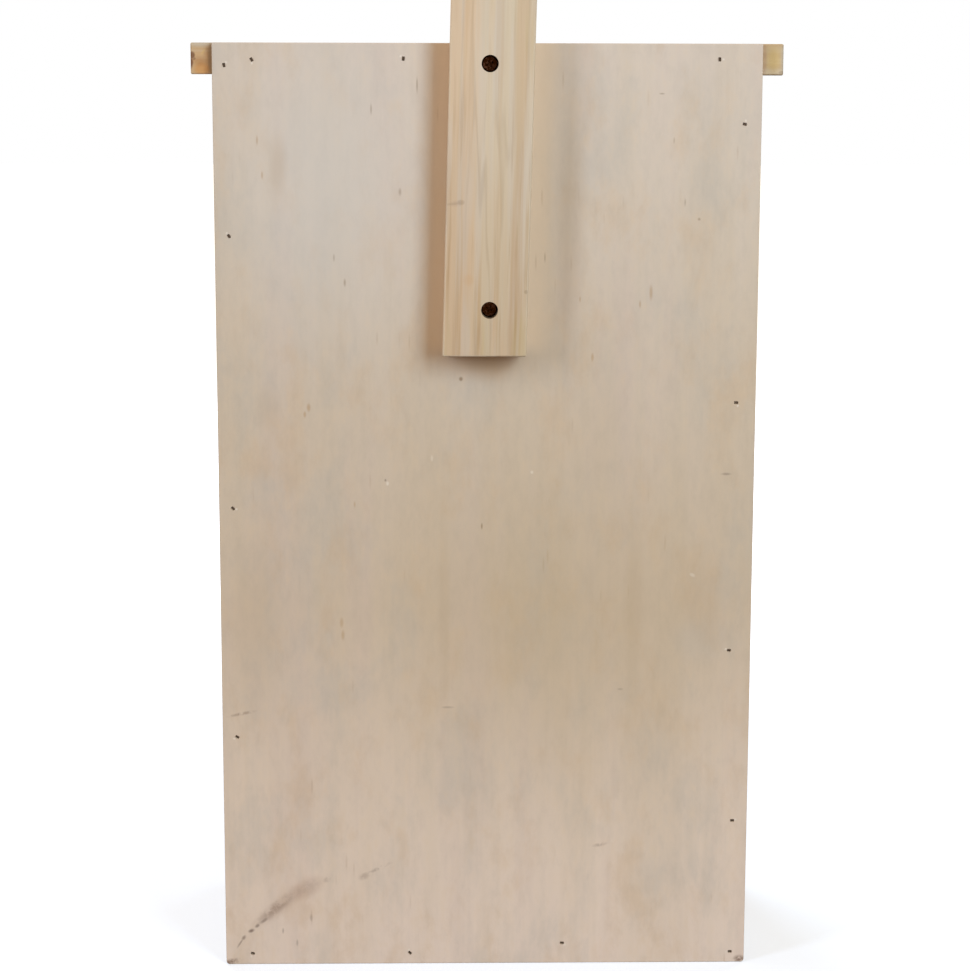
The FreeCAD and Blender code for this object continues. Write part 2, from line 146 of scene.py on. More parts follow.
class Bench:
    """Adds nodes to one tree, for a finish or for a form."""

    def __init__(self, tree: bpy.types.NodeTree) -> None:
        """Keeps the tree that the nodes go into."""
        self.tree = tree

    def node(self, kind: str, settings: dict[str, Any] | None = None,
             inputs: dict[Any, Any] | None = None) -> bpy.types.Node:
        """Adds any node.

        Args:
            kind: The node's type.
            settings: Its properties, and stops for a colour ramp, set first.
            inputs: Values or wires by the name or number of the socket.

        Returns:
            The new node.
        """
        node = self.tree.nodes.new(kind)
        for name, value in (settings or {}).items():
            if name == "stops":
                self.set_stops(node.color_ramp, value)
            elif name == "items":
                for _ in range(value - len(node.index_switch_items)):
                    node.index_switch_items.new()
            else:
                setattr(node, name, value)
        for key, value in (inputs or {}).items():
            self.feed(node.inputs[key], value)
        return node

    def set_stops(self, ramp: bpy.types.ColorRamp, stops: Sequence[tuple[float, Colour]]) -> None:
        """Gives a colour ramp its stops.

        Args:
            ramp: The ramp.
            stops: Places from 0 to 1, and their colours.
        """
        while len(ramp.elements) < len(stops):
            ramp.elements.new(1.0)
        for element, (position, colour) in zip(ramp.elements, stops):
            element.position = position
            element.color = colour

    def feed(self, socket: bpy.types.NodeSocket, value: Any) -> None:
        """Links a wire to a socket, or sets the socket's own value.

        Args:
            socket: The socket.
            value: A wire or a plain value.
        """
        if isinstance(value, Wire):
            self.tree.links.new(value.socket, socket)
        else:
            socket.default_value = value

    def out(self, kind: str, settings: dict[str, Any] | None = None,
            inputs: dict[Any, Any] | None = None, key: Any = 0) -> Wire:
        """Adds a node and returns one of its outputs."""
        return Wire(self, self.node(kind, settings, inputs).outputs[key])

    def math(self, operation: str, *values: Number) -> Wire:
        """Adds one Math node."""
        return self.out("ShaderNodeMath", {"operation": operation}, dict(enumerate(values)))

    def smooth(self, value: Number, start: Number, end: Number, top: float = 1.0) -> Wire:
        """A soft step from 0 at start to its top at end, whichever of them is lower."""
        settings = {"interpolation_type": "SMOOTHSTEP"}
        return self.out("ShaderNodeMapRange", settings, {0: value, 1: start, 2: end, 3: 0.0, 4: top})

    def vector(self, x: Number, y: Number, z: Number) -> Wire:
        """Three values as a vector."""
        return self.out("ShaderNodeCombineXYZ", None, {0: x, 1: y, 2: z})

    def vector_math(self, operation: str, *values: Any, key: str = "Vector") -> Wire:
        """Adds one Vector Math node."""
        return self.out("ShaderNodeVectorMath", {"operation": operation}, dict(enumerate(values)), key)

    def split(self, vector: Wire) -> tuple[Wire, Wire, Wire]:
        """The three values of a vector."""
        node = self.node("ShaderNodeSeparateXYZ", None, {0: vector})
        return tuple(Wire(self, output) for output in node.outputs)

    def length(self, x: Number, y: Number) -> Wire:
        """The length of a step of x and y."""
        return self.math("SQRT", x * x + y * y)

    def noise(self, place: Place, detail: float = 2.0, roughness: float = 0.5, twist: float = 0.0) -> Wire:
        """Cloudy noise over three values.

        Args:
            place: The values, in which one cloud is about one unit wide.
            detail: How many finer layers it has.
            roughness: How strong the finer layers are.
            twist: How far the clouds are pulled out of shape.

        Returns:
            The noise, from 0 to 1.
        """
        inputs = {"Vector": self.vector(*place), "Scale": 1.0, "Detail": detail, "Roughness": roughness,
                  "Distortion": twist}
        return self.out("ShaderNodeTexNoise", None, inputs)

    def cells(self, place: Place) -> Wire:
        """How far three values are from the nearest of many scattered points."""
        inputs = {"Vector": self.vector(*place), "Scale": 1.0}
        return self.out("ShaderNodeTexVoronoi", None, inputs, "Distance")

    def chance(self, value: Number) -> Wire:
        """A number from 0 to 1 that changes at random with each value."""
        return self.out("ShaderNodeTexWhiteNoise", {"noise_dimensions": "1D"}, {"W": value})

    def mix(self, factor: Number, first: Any, second: Any, blend: str = "MIX") -> Wire:
        """Two colours mixed."""
        settings = {"data_type": "RGBA", "blend_type": blend}
        return self.out("ShaderNodeMix", settings, {0: factor, 6: first, 7: second}, 2)

    def ramp(self, value: Number, stops: Sequence[tuple[float, Colour]]) -> Wire:
        """A colour that runs through stops."""
        return self.out("ShaderNodeValToRGB", {"stops": stops}, {0: value})

    def shade(self, colour: Any, value: Number) -> Wire:
        """A colour made lighter or darker by a value."""
        plain = colour if isinstance(colour, Wire) else colour[:3]
        return self.out("ShaderNodeVectorMath", {"operation": "SCALE"}, {0: plain, "Scale": value})

    def attribute(self, name: str, key: str = "Fac") -> Wire:
        """One of the mesh's own attributes."""
        return self.out("ShaderNodeAttribute", {"attribute_name": name}, None, key)

    def object_place(self) -> tuple[Wire, Wire, Wire]:
        """The three Object coordinates."""
        return self.split(self.out("ShaderNodeTexCoord", None, None, "Object"))

    def facing(self) -> tuple[Wire, Wire, Wire]:
        """How far the surface faces along each axis, without the sign."""
        normal = self.out("ShaderNodeTexCoord", None, None, "Normal")
        return tuple(abs(part) for part in self.split(normal))

    def bump(self, height: Wire, relief: float) -> Wire:
        """The normal that a height from 0 to 1 gives a surface, for a relief in metres."""
        return self.out("ShaderNodeBump", None, {"Strength": 1.0, "Distance": relief, "Height": height})

    def surface(self, colour: Any, roughness: Number, height: Wire, relief: float, shine: float) -> Wire:
        """A solid surface with a fine relief.

        Args:
            colour: The base colour.
            roughness: How dull the surface is.
            height: The relief from 0 to 1.
            relief: The depth of that relief in metres.
            shine: The level of the mirror part.

        Returns:
            The shader.
        """
        inputs = {"Base Color": colour, "Roughness": roughness, "Normal": self.bump(height, relief),
                  "Specular IOR Level": shine}
        return self.out("ShaderNodeBsdfPrincipled", None, inputs)


class Grain(Enum):
    """The axis that a board's fibres follow, then the two axes across it."""

    X = (0, 1, 2)
    Z = (2, 0, 1)


@dataclass(frozen=True)
class Finish:
    """A material that paints itself with nodes."""

    name: str

    def paint(self, bench: Bench) -> Wire:
        """Adds the nodes and returns the shader."""
        raise NotImplementedError

    def material(self) -> bpy.types.Material:
        """Makes a material and paints it.

        Returns:
            The material.
        """
        material = bpy.data.materials.new(self.name)
        material.use_nodes = True
        material.node_tree.nodes.clear()
        bench = Bench(material.node_tree)
        bench.node("ShaderNodeOutputMaterial", None, {"Surface": self.paint(bench)})
        return material


@dataclass(frozen=True)
class Knot:
    """A branch that crosses a board.

    It has a place along the grain, a direction from the pith and a radius.
    """

    along: float
    angle: float
    radius: float


@dataclass(frozen=True)
class Trace:
    """How a mark looks.

    It has a colour and a core, the share of it that is at full strength. Grit may break it, and a deep one
    shows below the face too.
    """

    colour: Colour
    core: float = 0.15
    broken: bool = False
    deep: bool = False


class Stain(Enum):
    """What left a mark, and for some marks the painted shade they carry, in the order in which the marks
    lie on each other.
    """

    OLIVE = Trace(srgb(188, 164, 126), 0.0)
    PALE = Trace(srgb(212, 205, 196), 0.0)
    DAMP_AND_SHADE = Trace(srgb(184, 158, 126))
    DUST = Trace(srgb(188, 180, 168), 0.2)
    GOLD = Trace(srgb(216, 186, 126), 0.2)
    AMBER_AND_SHADE = Trace(srgb(202, 144, 80), 0.3)
    RESIN = Trace(srgb(158, 104, 58))
    ROSE = Trace(srgb(172, 132, 108), 0.4)
    SMEAR = Trace(srgb(170, 142, 122), 0.0)
    SCUFF = Trace(srgb(134, 108, 92), broken=True)
    RUST = Trace(srgb(172, 130, 80), 0.2)
    FLECK = Trace(srgb(130, 100, 68))
    SPECK = Trace(srgb(104, 84, 74))
    SCRATCH_AND_SHADOW = Trace(srgb(122, 98, 74), 0.4)
    KNOT = Trace(srgb(96, 50, 30), 0.5)
    DENT_SHADE_AND_RUST = Trace(srgb(116, 92, 72), 0.3)
    CHIP = Trace(srgb(240, 229, 213), 0.3)
    SCORCH_AND_SHADE = Trace(srgb(84, 54, 30), 0.96, deep=True)


@dataclass(frozen=True)
class Mark:
    """A mark on the back, with what left it.

    Its place across and up and its half sizes are in millimetres. Then come its strength and its lean.
    """

    stain: Stain
    across: float
    up: float
    half_width: float
    half_height: float
    strength: float
    lean: float = 0.0

    def mask(self, bench: Bench, flat: Wire) -> Wire:
        """Finds how strong the mark is at a place.

        Args:
            bench: The bench of the finish.
            flat: The place on the rear face in millimetres.

        Returns:
            The mark's share, from 0 to its strength.
        """
        cosine, sine = math.cos(self.lean), math.sin(self.lean)
        side, rise = self.across * cosine + self.up * sine, self.up * cosine - self.across * sine
        if self.lean:
            axes = ((cosine, 0.0, sine), (-sine, 0.0, cosine))
            turned = [bench.vector_math("DOT_PRODUCT", flat, axis, key="Value") for axis in axes]
            flat = bench.vector(turned[0], 0.0, turned[1])
        shrink = (1 / self.half_width, 0.0, 1 / self.half_height)
        spot = bench.vector_math("MULTIPLY_ADD", flat, shrink, (-side * shrink[0], 0.0, -rise * shrink[2]))
        away = bench.vector_math("LENGTH", spot, key="Value")
        return bench.smooth(away, 1.0, self.stain.value.core, self.strength)


def marks_of(groups: dict[Stain, Sequence[tuple[float, ...]]]) -> tuple[Mark, ...]:
    """Makes marks from their values, grouped by what left them.

    Args:
        groups: For each stain the values of its marks, in the order of a mark's fields.

    Returns:
        The marks.
    """
    return tuple(Mark(stain, *values) for stain, group in groups.items() for values in group)


@dataclass(frozen=True)
class MarkedWood(Finish):
    """Wood with marks on its rear face."""

    marks: tuple[Mark, ...] = ()
    rear: float = 78 * MM

    def marked(self, bench: Bench, colour: Wire, place: tuple[Wire, Wire, Wire]) -> Wire:
        """Lays the marks on a colour, one stain after the other.

        Args:
            bench: The bench of the finish.
            colour: The colour of the bare wood.
            place: The three Object coordinates.

        Returns:
            The colour with its marks.
        """
        if not self.marks:
            return colour
        x, y, z = place
        flat = bench.vector(x / MM, 0.0, z / MM)
        grit = bench.noise((x * 300.0, y * 300.0, z * 300.0), 3.0, 0.65)
        ragged = bench.smooth(grit, 0.34, 0.6)
        shown = bench.smooth(y, self.rear - 3 * MM, self.rear - 1.5 * MM)
        used = {mark.stain for mark in self.marks}
        for stain in (stain for stain in Stain if stain in used):
            share: Number = 0.0
            for mark in (mark for mark in self.marks if mark.stain is stain):
                share = bench.math("MAXIMUM", share, mark.mask(bench, flat))
            if stain.value.broken:
                share = share * ragged
            if not stain.value.deep:
                share = share * shown
            colour = bench.mix(share, colour, stain.value.colour)
        return colour


@dataclass(frozen=True)
class SawnWood(MarkedWood):
    """Softwood sawn from a trunk, so that faces and ends show the same growth rings."""

    grain: Grain = Grain.Z
    pith: tuple[float, float] = (0.0, 0.06)
    lean: tuple[float, float] = (0.0, 0.02)
    ring: float = 3.1 * MM
    wander: float = 9.0 * MM
    early: Colour = srgb(205, 180, 140)
    late: Colour = srgb(176, 134, 84)
    blush: Colour = srgb(196, 162, 120)
    pale: Colour = srgb(214, 198, 170)
    edge_wear_and_highlight: Colour = srgb(150, 122, 92)
    contrast: float = 0.8
    fuzz: float = 0.16
    knots: tuple[Knot, ...] = ()

    def paint(self, bench: Bench) -> Wire:
        """Paints growth rings round the pith, knots, fibres and end grain.

        Args:
            bench: The bench of the finish.

        Returns:
            The shader.
        """
        place = bench.object_place()
        along, across, through = (place[axis] for axis in self.grain.value)
        drift = bench.noise((across * 9.0, through * 9.0, along * 2.4)) - 0.5
        sway = bench.noise((across * 9.0, through * 9.0, along * 2.4 + 31.0)) - 0.5
        side = across - self.pith[0] - along * self.lean[0] + drift * self.wander
        rise = through - self.pith[1] - along * self.lean[1] + sway * self.wander
        radius = bench.length(side, rise)
        cores = []
        for knot in self.knots:
            core, bulge = self.knot(bench, knot, along, side, rise)
            cores.append(core)
            radius = radius + bulge
        fibre = bench.noise((across * 620.0, through * 620.0, along * 11.0), 3.0)
        patch = bench.noise((across * 70.0, through * 70.0, along * 8.0 + 4.0), 2.0)
        colour, late = self.figure(bench, along, across, through, radius, patch)
        colour = bench.shade(colour, 0.92 - self.fuzz / 2 + self.fuzz * fibre + 0.16 * patch)
        for core in cores:
            colour = bench.mix(core * 0.85, colour, srgb(112, 66, 38))
        end = bench.smooth(bench.facing()[self.grain.value[0]], 0.55, 0.85)
        colour = bench.mix(end * 0.45, colour, bench.shade(colour, 0.68))
        worn = bench.attribute("worn") * bench.smooth(patch + fibre * 0.5, 0.55, 0.85)
        colour = self.marked(bench, bench.mix(worn * 0.4, colour, self.edge_wear_and_highlight), place)
        height = fibre * 0.7 + late * 0.5
        return bench.surface(colour, 0.6 + 0.2 * fibre, height, 0.16 * MM, 0.28)

    def figure(self, bench: Bench, along: Wire, across: Wire, through: Wire, radius: Wire,
               patch: Wire) -> tuple[Wire, Wire]:
        """The figure that the saw lays open.

        Args:
            bench: The bench of the finish.
            along: The place along the grain.
            across: The first place across.
            through: The second place across.
            radius: The distance from the pith, bent round knots.
            patch: Patches where the rings are strong.

        Returns:
            The colour, and the relief of the late wood.
        """
        years = bench.noise((radius * 80.0, along * 1.2, self.pith[0] * 50.0), 2.0)
        turns = radius / self.ring + years * 2.4
        part = bench.math("FRACT", turns)
        ring_chance = bench.chance(bench.math("FLOOR", turns))
        late = bench.smooth(part, 0.2, 0.85) * bench.smooth(part, 1.0, 0.88)
        late = late * (0.25 + 0.75 * ring_chance) * bench.smooth(patch, 0.25, 0.62)
        streak = bench.noise((across * 130.0, through * 130.0, along * 4.0), 3.0, 0.6)
        cloud = bench.noise((across * 14.0, through * 14.0, along * 5.0), 2.0)
        colour = bench.mix(bench.smooth(cloud, 0.4, 0.72), self.early, self.blush)
        colour = bench.mix(bench.smooth(streak, 0.5, 0.66) * 0.6, colour, self.pale)
        return bench.mix(late * self.contrast, colour, self.late), late

    def knot(self, bench: Bench, knot: Knot, along: Wire, side: Wire, rise: Wire) -> tuple[Wire, Wire]:
        """Where a knot's core lies, and how far the rings bend round it.

        Args:
            bench: The bench of the finish.
            knot: The knot.
            along: The place along the grain.
            side: The first place across, from the pith.
            rise: The second place across, from the pith.

        Returns:
            The mask of the core, and what is added to the rings' radius.
        """
        aside = rise * math.cos(knot.angle) - side * math.sin(knot.angle)
        outward = bench.smooth(side * math.cos(knot.angle) + rise * math.sin(knot.angle), 0.0, knot.radius)
        away = bench.length(aside, (along - knot.along) * 0.8)
        rings = 0.75 + 0.25 * bench.math("FRACT", away / (1.3 * MM))
        core = bench.smooth(away, knot.radius, knot.radius * 0.75) * outward * rings
        bulge = bench.smooth(away, knot.radius * 3.2, 0.0) * outward * (knot.radius * 1.6)
        return core, bulge


@dataclass(frozen=True)
class Band:
    """Broken streaks of one colour.

    It has how many there are to the metre across and along, where they begin, and their strength.
    """

    across: float
    along: float
    start: float
    strength: float
    colour: Colour


@dataclass(frozen=True)
class BattenPine(SawnWood):
    """Straight-grained pine in broken streaks, with painted shade that darkens it towards its foot."""

    foot: float = 356 * MM
    foot_shade_top: float = 560 * MM
    bands: tuple[Band, ...] = ()

    def figure(self, bench: Bench, along: Wire, across: Wire, through: Wire, radius: Wire,
               patch: Wire) -> tuple[Wire, Wire]:
        """Lays broken streaks of several colours over the plain wood.

        Args:
            bench: The bench of the finish.
            along: The place along the grain.
            across: The first place across.
            through: The second place across.
            radius: The distance from the pith, which straight streaks don't follow.
            patch: Patches where the late lines show.

        Returns:
            The colour, and the relief of the late lines.
        """
        slide = bench.noise((across * 30.0, through * 30.0, along * 7.0), 2.0) - 0.5
        lane = across - along * self.lean[0] + slide * self.wander
        # A ramp towards the foot: painted shade that darkens the batten there, and stronger streaks
        foot_streaks_and_shade = bench.smooth(along, self.foot_shade_top, self.foot)
        colour = bench.mix(bench.smooth(lane, 12 * MM, 21 * MM) * 0.45, self.early, self.blush)
        for turn, band in enumerate(self.bands):
            place = (lane * band.across, through * band.across * 0.4 + turn * 9.0, along * band.along)
            streak = bench.noise(place, 3.0, 0.58)
            share = bench.smooth(streak, band.start, band.start + 0.17) * band.strength
            colour = bench.mix(share * (0.6 + 0.4 * foot_streaks_and_shade), colour, band.colour)
        contour = bench.noise((lane * 70.0, through * 40.0, along * 4.5), 2.0)
        line = bench.smooth(abs(contour - 0.5), 0.03, 0.004) * bench.smooth(patch, 0.46, 0.62)
        colour = bench.mix(line * self.contrast, colour, self.late)
        # The colour of the painted shade towards the foot
        dull = bench.mix(1.0, colour, srgb(228, 219, 206), "MULTIPLY")
        return bench.mix(foot_streaks_and_shade * 0.6, colour, dull), line


@dataclass(frozen=True)
class Plywood(MarkedWood):
    """Thin pale plywood with a peeled face veneer, and its layers showing at the edges."""

    front: float = 72 * MM
    thickness: float = 6 * MM
    layers: int = 5
    height: float = 525 * MM
    plumb: float = 436 * MM
    tilt: float = BATTEN_LEAN
    # The reach of the painted shadow and bounce light along the batten
    painted_strip_reach: float = 42 * MM
    painted_strip_narrowing: float = 4 * MM
    painted_strip_core: float = 27 * MM
    painted_strip_foot: tuple[float, float] = (346 * MM, 364 * MM)

    def paint(self, bench: Bench) -> Wire:
        """Paints the veneer, its marks and the layers of the edges.

        Args:
            bench: The bench of the finish.

        Returns:
            The shader.
        """
        x, y, z = bench.object_place()
        colour, height = self.veneer(bench, x, y, z)
        colour = self.marked(bench, colour, (x, y, z))
        edge = bench.smooth(bench.facing()[1], 0.8, 0.5)
        colour = bench.mix(edge, colour, self.edge(bench, x, y, z))
        return bench.surface(colour, 0.62 + 0.12 * height, height, 0.07 * MM, 0.25)

    def veneer(self, bench: Bench, x: Wire, y: Wire, z: Wire) -> tuple[Wire, Wire]:
        """Paints the face veneer, with painted light in its height ramp and painted shade and light along
        the batten.

        Args:
            bench: The bench of the finish.
            x: The place across.
            y: The place through the panel.
            z: The height.

        Returns:
            The colour and the relief.
        """
        lane = bench.noise((x * 25.0, y * 25.0, z * 2.0), 4.0, 0.62)
        cloud = bench.noise((x * 30.0, y * 30.0 + 7.0, z * 15.0), 5.0, 0.62, 0.2)
        blotch = bench.noise((x * 40.0 + 3.0, y * 40.0, z * 22.0 + 5.0), 5.0, 0.66, 0.15)
        streak = bench.noise((x * 48.0, y * 48.0, z * 5.0 + 3.0), 3.0, 0.55)
        mottle = bench.noise((x * 140.0, y * 140.0, z * 64.0 + 2.0), 4.0, 0.7)
        fibre = bench.noise((x * 520.0, y * 520.0, z * 16.0), 3.0)
        # Lighter at the top and the bottom than in the middle: partly the veneer's own tone, partly painted
        # light from the lamps above and the floor's bounce below
        tone = bench.ramp(z / self.height, [
            (0.0, srgb(236, 216, 199)), (0.14, srgb(229, 209, 189)), (0.4, srgb(208, 188, 164)),
            (0.62, srgb(209, 191, 169)), (0.85, srgb(214, 198, 179)), (1.0, srgb(216, 200, 183))])
        tone = bench.mix(bench.smooth(lane, 0.44, 0.62) * 0.16, tone, srgb(194, 172, 136))
        tone = bench.mix(bench.smooth(lane, 0.5, 0.34) * 0.3, tone, srgb(210, 188, 174))
        tone = bench.mix(bench.smooth(cloud, 0.46, 0.7) * 0.32, tone, srgb(186, 179, 168))
        tone = bench.mix(bench.smooth(blotch, 0.48, 0.72) * 0.32, tone, srgb(206, 174, 136))
        tone = bench.mix(bench.smooth(mottle, 0.5, 0.72) * 0.2, tone, srgb(206, 182, 150))
        tone = bench.shade(tone, 0.812 + 0.1 * streak + 0.22 * mottle + 0.04 * fibre)
        # Painted shade and light along the batten: a warm tint for its shadow on the left, a pale tint for
        # bounce light on the right
        left = bench.smooth(x, -5 * MM, 5 * MM)
        fresh = bench.mix(left, srgb(228, 203, 172), srgb(224, 195, 156))
        tone = bench.mix(self.painted_batten_strip(bench, x, z, left) * 0.64, tone, fresh)
        pores = bench.cells((x * 210.0, y * 210.0, z * 26.0))
        sparse = bench.smooth(bench.noise((x * 60.0, y * 60.0, z * 24.0), 1.0), 0.56, 0.7)
        pore = bench.smooth(pores, 0.18, 0.05) * sparse
        tone = bench.mix(pore * 0.22, tone, srgb(160, 124, 84))
        return tone, fibre * 0.7 + streak * 0.3 - pore * 0.4

    def painted_batten_strip(self, bench: Bench, x: Wire, z: Wire, left: Wire) -> Wire:
        """Finds how far a place lies in the painted strip along the batten: painted shadow on its left and
        painted bounce light on its right.

        Args:
            bench: The bench of the finish.
            x: The place across.
            z: The height.
            left: 1 on the left of the batten, where the painted shadow strip is narrower.

        Returns:
            The share of the painted tint.
        """
        aside = abs(x + (z - self.plumb) * self.tilt)
        near = bench.smooth(aside, self.painted_strip_reach - left * self.painted_strip_narrowing, self.painted_strip_core)
        return near * bench.smooth(z, *self.painted_strip_foot)

    def edge(self, bench: Bench, x: Wire, y: Wire, z: Wire) -> Wire:
        """Paints the layers at an edge, every other one cut across its fibres.

        Args:
            bench: The bench of the finish.
            x: The place across.
            y: The place through the panel.
            z: The height.

        Returns:
            The colour.
        """
        layer = (y - self.front) * (self.layers / self.thickness)
        odd = bench.smooth(bench.math("PINGPONG", layer, 1.0), 0.4, 0.6)
        ripple = bench.noise((x * 900.0, y * 300.0, z * 900.0), 2.0)
        glue = bench.smooth(bench.math("FRACT", layer), 0.14, 0.0)
        colour = bench.mix(odd, srgb(208, 190, 166), srgb(176, 148, 116))
        colour = bench.shade(colour, 0.84 + 0.3 * ripple)
        return bench.mix(glue * 0.5, colour, srgb(128, 98, 70))


@dataclass(frozen=True)
class Beech(Finish):
    """Close-grained hardwood with short dark rays, drilled across its fibres."""

    tone: Colour
    deep: Colour
    shift: float
    front: float = -62 * MM

    def paint(self, bench: Bench) -> Wire:
        """Paints soft growth bands, ray flecks and painted shade that darkens the tunnels.

        Args:
            bench: The bench of the finish.

        Returns:
            The shader.
        """
        x, y, z = bench.object_place()
        drift = bench.noise((x * 7.0 + self.shift, y * 7.0, z * 2.0)) - 0.5
        bands = bench.math("PINGPONG", (x + self.shift * 0.013 + drift * 0.03 + z * 0.03) / (5.5 * MM), 1.0)
        fibre = bench.noise((x * 700.0, y * 700.0, z * 14.0), 3.0)
        cloud = bench.noise((x * 18.0 + self.shift, y * 18.0, z * 6.0), 2.0)
        rays = bench.cells((x * 900.0, y * 300.0, z * 170.0))
        ray = bench.smooth(rays, 0.3, 0.12)
        colour = bench.mix(bench.smooth(bands, 0.2, 0.95) * 0.35, self.tone, self.deep)
        colour = bench.mix(bench.smooth(cloud, 0.45, 0.75) * 0.4, colour, srgb(214, 182, 148))
        colour = bench.mix(ray * 0.35, colour, srgb(150, 104, 70))
        colour = bench.shade(colour, 0.88 + 0.22 * fibre)
        # Painted shade: darker with depth inside the tunnels
        depth = bench.smooth(y, self.front + 0.4 * MM, self.front + 26 * MM)
        colour = bench.mix(depth * 0.8, colour, srgb(88, 60, 40))
        worn = bench.attribute("worn") * bench.smooth(cloud + fibre * 0.4, 0.5, 0.85)
        colour = bench.mix(worn * 0.35, colour, srgb(226, 198, 166))
        return bench.surface(colour, 0.5 + 0.22 * fibre, fibre * 0.8 - ray * 0.3, 0.1 * MM, 0.32)


@dataclass(frozen=True)
class LogWood(Finish):
    """A sawn branch: growth rings and drying checks on the end, bark round it."""

    bark: Colour
    crust: Colour
    sap: Colour
    heart: Colour
    ring: float = 2.2 * MM
    bark_share: float = BARK_SHARE

    def paint(self, bench: Bench) -> Wire:
        """Paints the end by its distance from the pith, and the bark by the share of the radius.

        Args:
            bench: The bench of the finish.

        Returns:
            The shader.
        """
        x, z, depth = bench.split(bench.attribute("local", "Vector"))
        share = bench.attribute("share")
        seed = bench.attribute("seed")
        stray = (1.0 - share) * bench.length(x, z) / bench.math("MAXIMUM", share, 0.02)
        side = x + stray * (0.5 * bench.chance(seed + 3.0) - 0.25)
        rise = z + stray * (0.5 * bench.chance(seed + 8.0) - 0.25)
        radius = bench.length(side, rise)
        wobble = bench.noise((x * 26.0 + seed, z * 26.0, depth * 4.0)) - 0.5
        years = bench.noise((radius * 110.0, seed, 0.0), 2.0)
        turns = (radius + wobble * (5 * MM)) / self.ring + years * 2.2
        part = bench.math("FRACT", turns)
        late = bench.smooth(part, 0.3, 0.9) * bench.smooth(part, 1.0, 0.92)
        late = late * (0.4 + 0.6 * bench.chance(bench.math("FLOOR", turns) + seed))
        grit = bench.noise((x * 900.0, z * 900.0, depth * 120.0), 3.0, 0.6)
        angle = bench.math("ARCTAN2", rise, side)
        rays = bench.noise((angle * 34.0 + seed, radius * 60.0, seed), 2.0)
        lobe = bench.noise((side * 60.0, rise * 60.0 + seed, 0.0), 3.0, 0.6) - 0.5
        saw = bench.noise(((x + z * 0.6) * 520.0 + seed, (z - x * 0.6) * 24.0, seed), 2.0)
        core = share * radius / bench.math("MAXIMUM", bench.length(x, z), 0.01 * MM)
        core = core + wobble * 0.2 + lobe * 0.22
        wood = bench.mix(bench.smooth(core, 0.33, 0.56), self.heart, self.sap)
        wood = bench.mix(bench.smooth(core, 0.12, 0.0) * 0.5, wood, srgb(112, 72, 44))
        wood = bench.mix(bench.smooth(lobe, 0.02, 0.2) * 0.3, wood, srgb(168, 150, 122))
        wood = bench.mix(late * 0.5, wood, bench.shade(wood, 0.62))
        wood = bench.shade(wood, 0.76 + 0.2 * grit + 0.18 * rays + 0.12 * saw)
        # Painted shade: darker with depth inside the tunnels
        inside = bench.smooth(depth, 0.6 * MM, 24 * MM) * bench.smooth(share, 0.97, 0.93)
        wood = bench.mix(inside * 0.85, wood, srgb(70, 48, 32))
        flakes = bench.noise((x * 130.0 + seed, z * 130.0, depth * 34.0), 4.0, 0.6)
        skin = bench.mix(bench.smooth(flakes, 0.35, 0.65), self.crust, self.bark)
        skin = bench.shade(skin, 0.75 + 0.5 * grit)
        rim = bench.smooth(share + wobble * 0.02, self.bark_share - 0.006, self.bark_share + 0.006)
        colour = bench.mix(rim, wood, skin)
        bast = bench.smooth(abs(share - self.bark_share + wobble * 0.02), 0.02, 0.004)
        colour = bench.mix(bast * 0.7, colour, srgb(92, 54, 32))
        height = bench.mix(rim, grit * 0.4 + saw * 0.5 + late * 0.3, flakes)
        return bench.surface(colour, 0.72 + 0.16 * grit, height, 0.4 * MM, 0.2)


@dataclass(frozen=True)
class Bamboo(Finish):
    """A cut cane: streaked skin, a fibrous end and a bore with painted shade that darkens with depth."""

    straw: Colour = srgb(206, 174, 112)
    green: Colour = srgb(166, 152, 88)
    brown: Colour = srgb(150, 106, 62)

    def paint(self, bench: Bench) -> Wire:
        """Paints skin, cut end and bore by the zone that the form gives.

        Args:
            bench: The bench of the finish.

        Returns:
            The shader.
        """
        x, z, depth = bench.split(bench.attribute("local", "Vector"))
        zone = bench.attribute("zone")
        wall = bench.attribute("wall")
        seed = bench.attribute("seed")
        mood = bench.chance(seed)
        cloud = bench.noise((x * 90.0 + seed, z * 90.0, depth * 22.0), 3.0)
        streak = bench.noise((x * 700.0 + seed, z * 700.0, depth * 7.0), 3.0)
        skin = bench.mix(bench.smooth(mood + cloud * 0.5, 0.5, 1.1), self.straw, self.green)
        skin = bench.mix(bench.smooth(cloud, 0.55, 0.8) * 0.6, skin, self.brown)
        skin = bench.shade(skin, 0.8 + 0.36 * streak)
        dots = bench.cells((x * 1250.0 + seed, z * 1250.0, 0.0))
        dot = bench.smooth(dots, 0.2 + 0.28 * wall, 0.08 + 0.2 * wall)
        end = bench.ramp(bench.chance(seed + 2.0), [
            (0.0, srgb(228, 208, 162)), (0.35, srgb(214, 188, 138)), (0.6, srgb(218, 204, 166)),
            (1.0, srgb(190, 158, 110))])
        end = bench.mix(bench.smooth(cloud, 0.5, 0.75) * 0.5, end, srgb(176, 148, 104))
        end = bench.mix(dot * (0.25 + 0.45 * wall), end, srgb(126, 90, 52))
        end = bench.shade(end, 0.86 + 0.24 * streak)
        end = bench.mix(bench.smooth(wall, 0.9, 1.0) * 0.6, end, srgb(120, 92, 50))
        # Painted shade: the bore darkens with depth
        bore = bench.mix(bench.smooth(depth, 1 * MM, 20 * MM), srgb(172, 132, 82), srgb(62, 42, 26))
        bore = bench.shade(bore, 0.8 + 0.4 * streak)
        colour = bench.mix(bench.smooth(zone, 0.3, 0.7), skin, end)
        colour = bench.mix(bench.smooth(zone, 1.3, 1.7), colour, bore)
        sheen = bench.smooth(zone, 0.5, 0.2)
        return bench.surface(colour, 0.72 - 0.3 * sheen, streak - dot * 0.5, 0.12 * MM, 0.35)


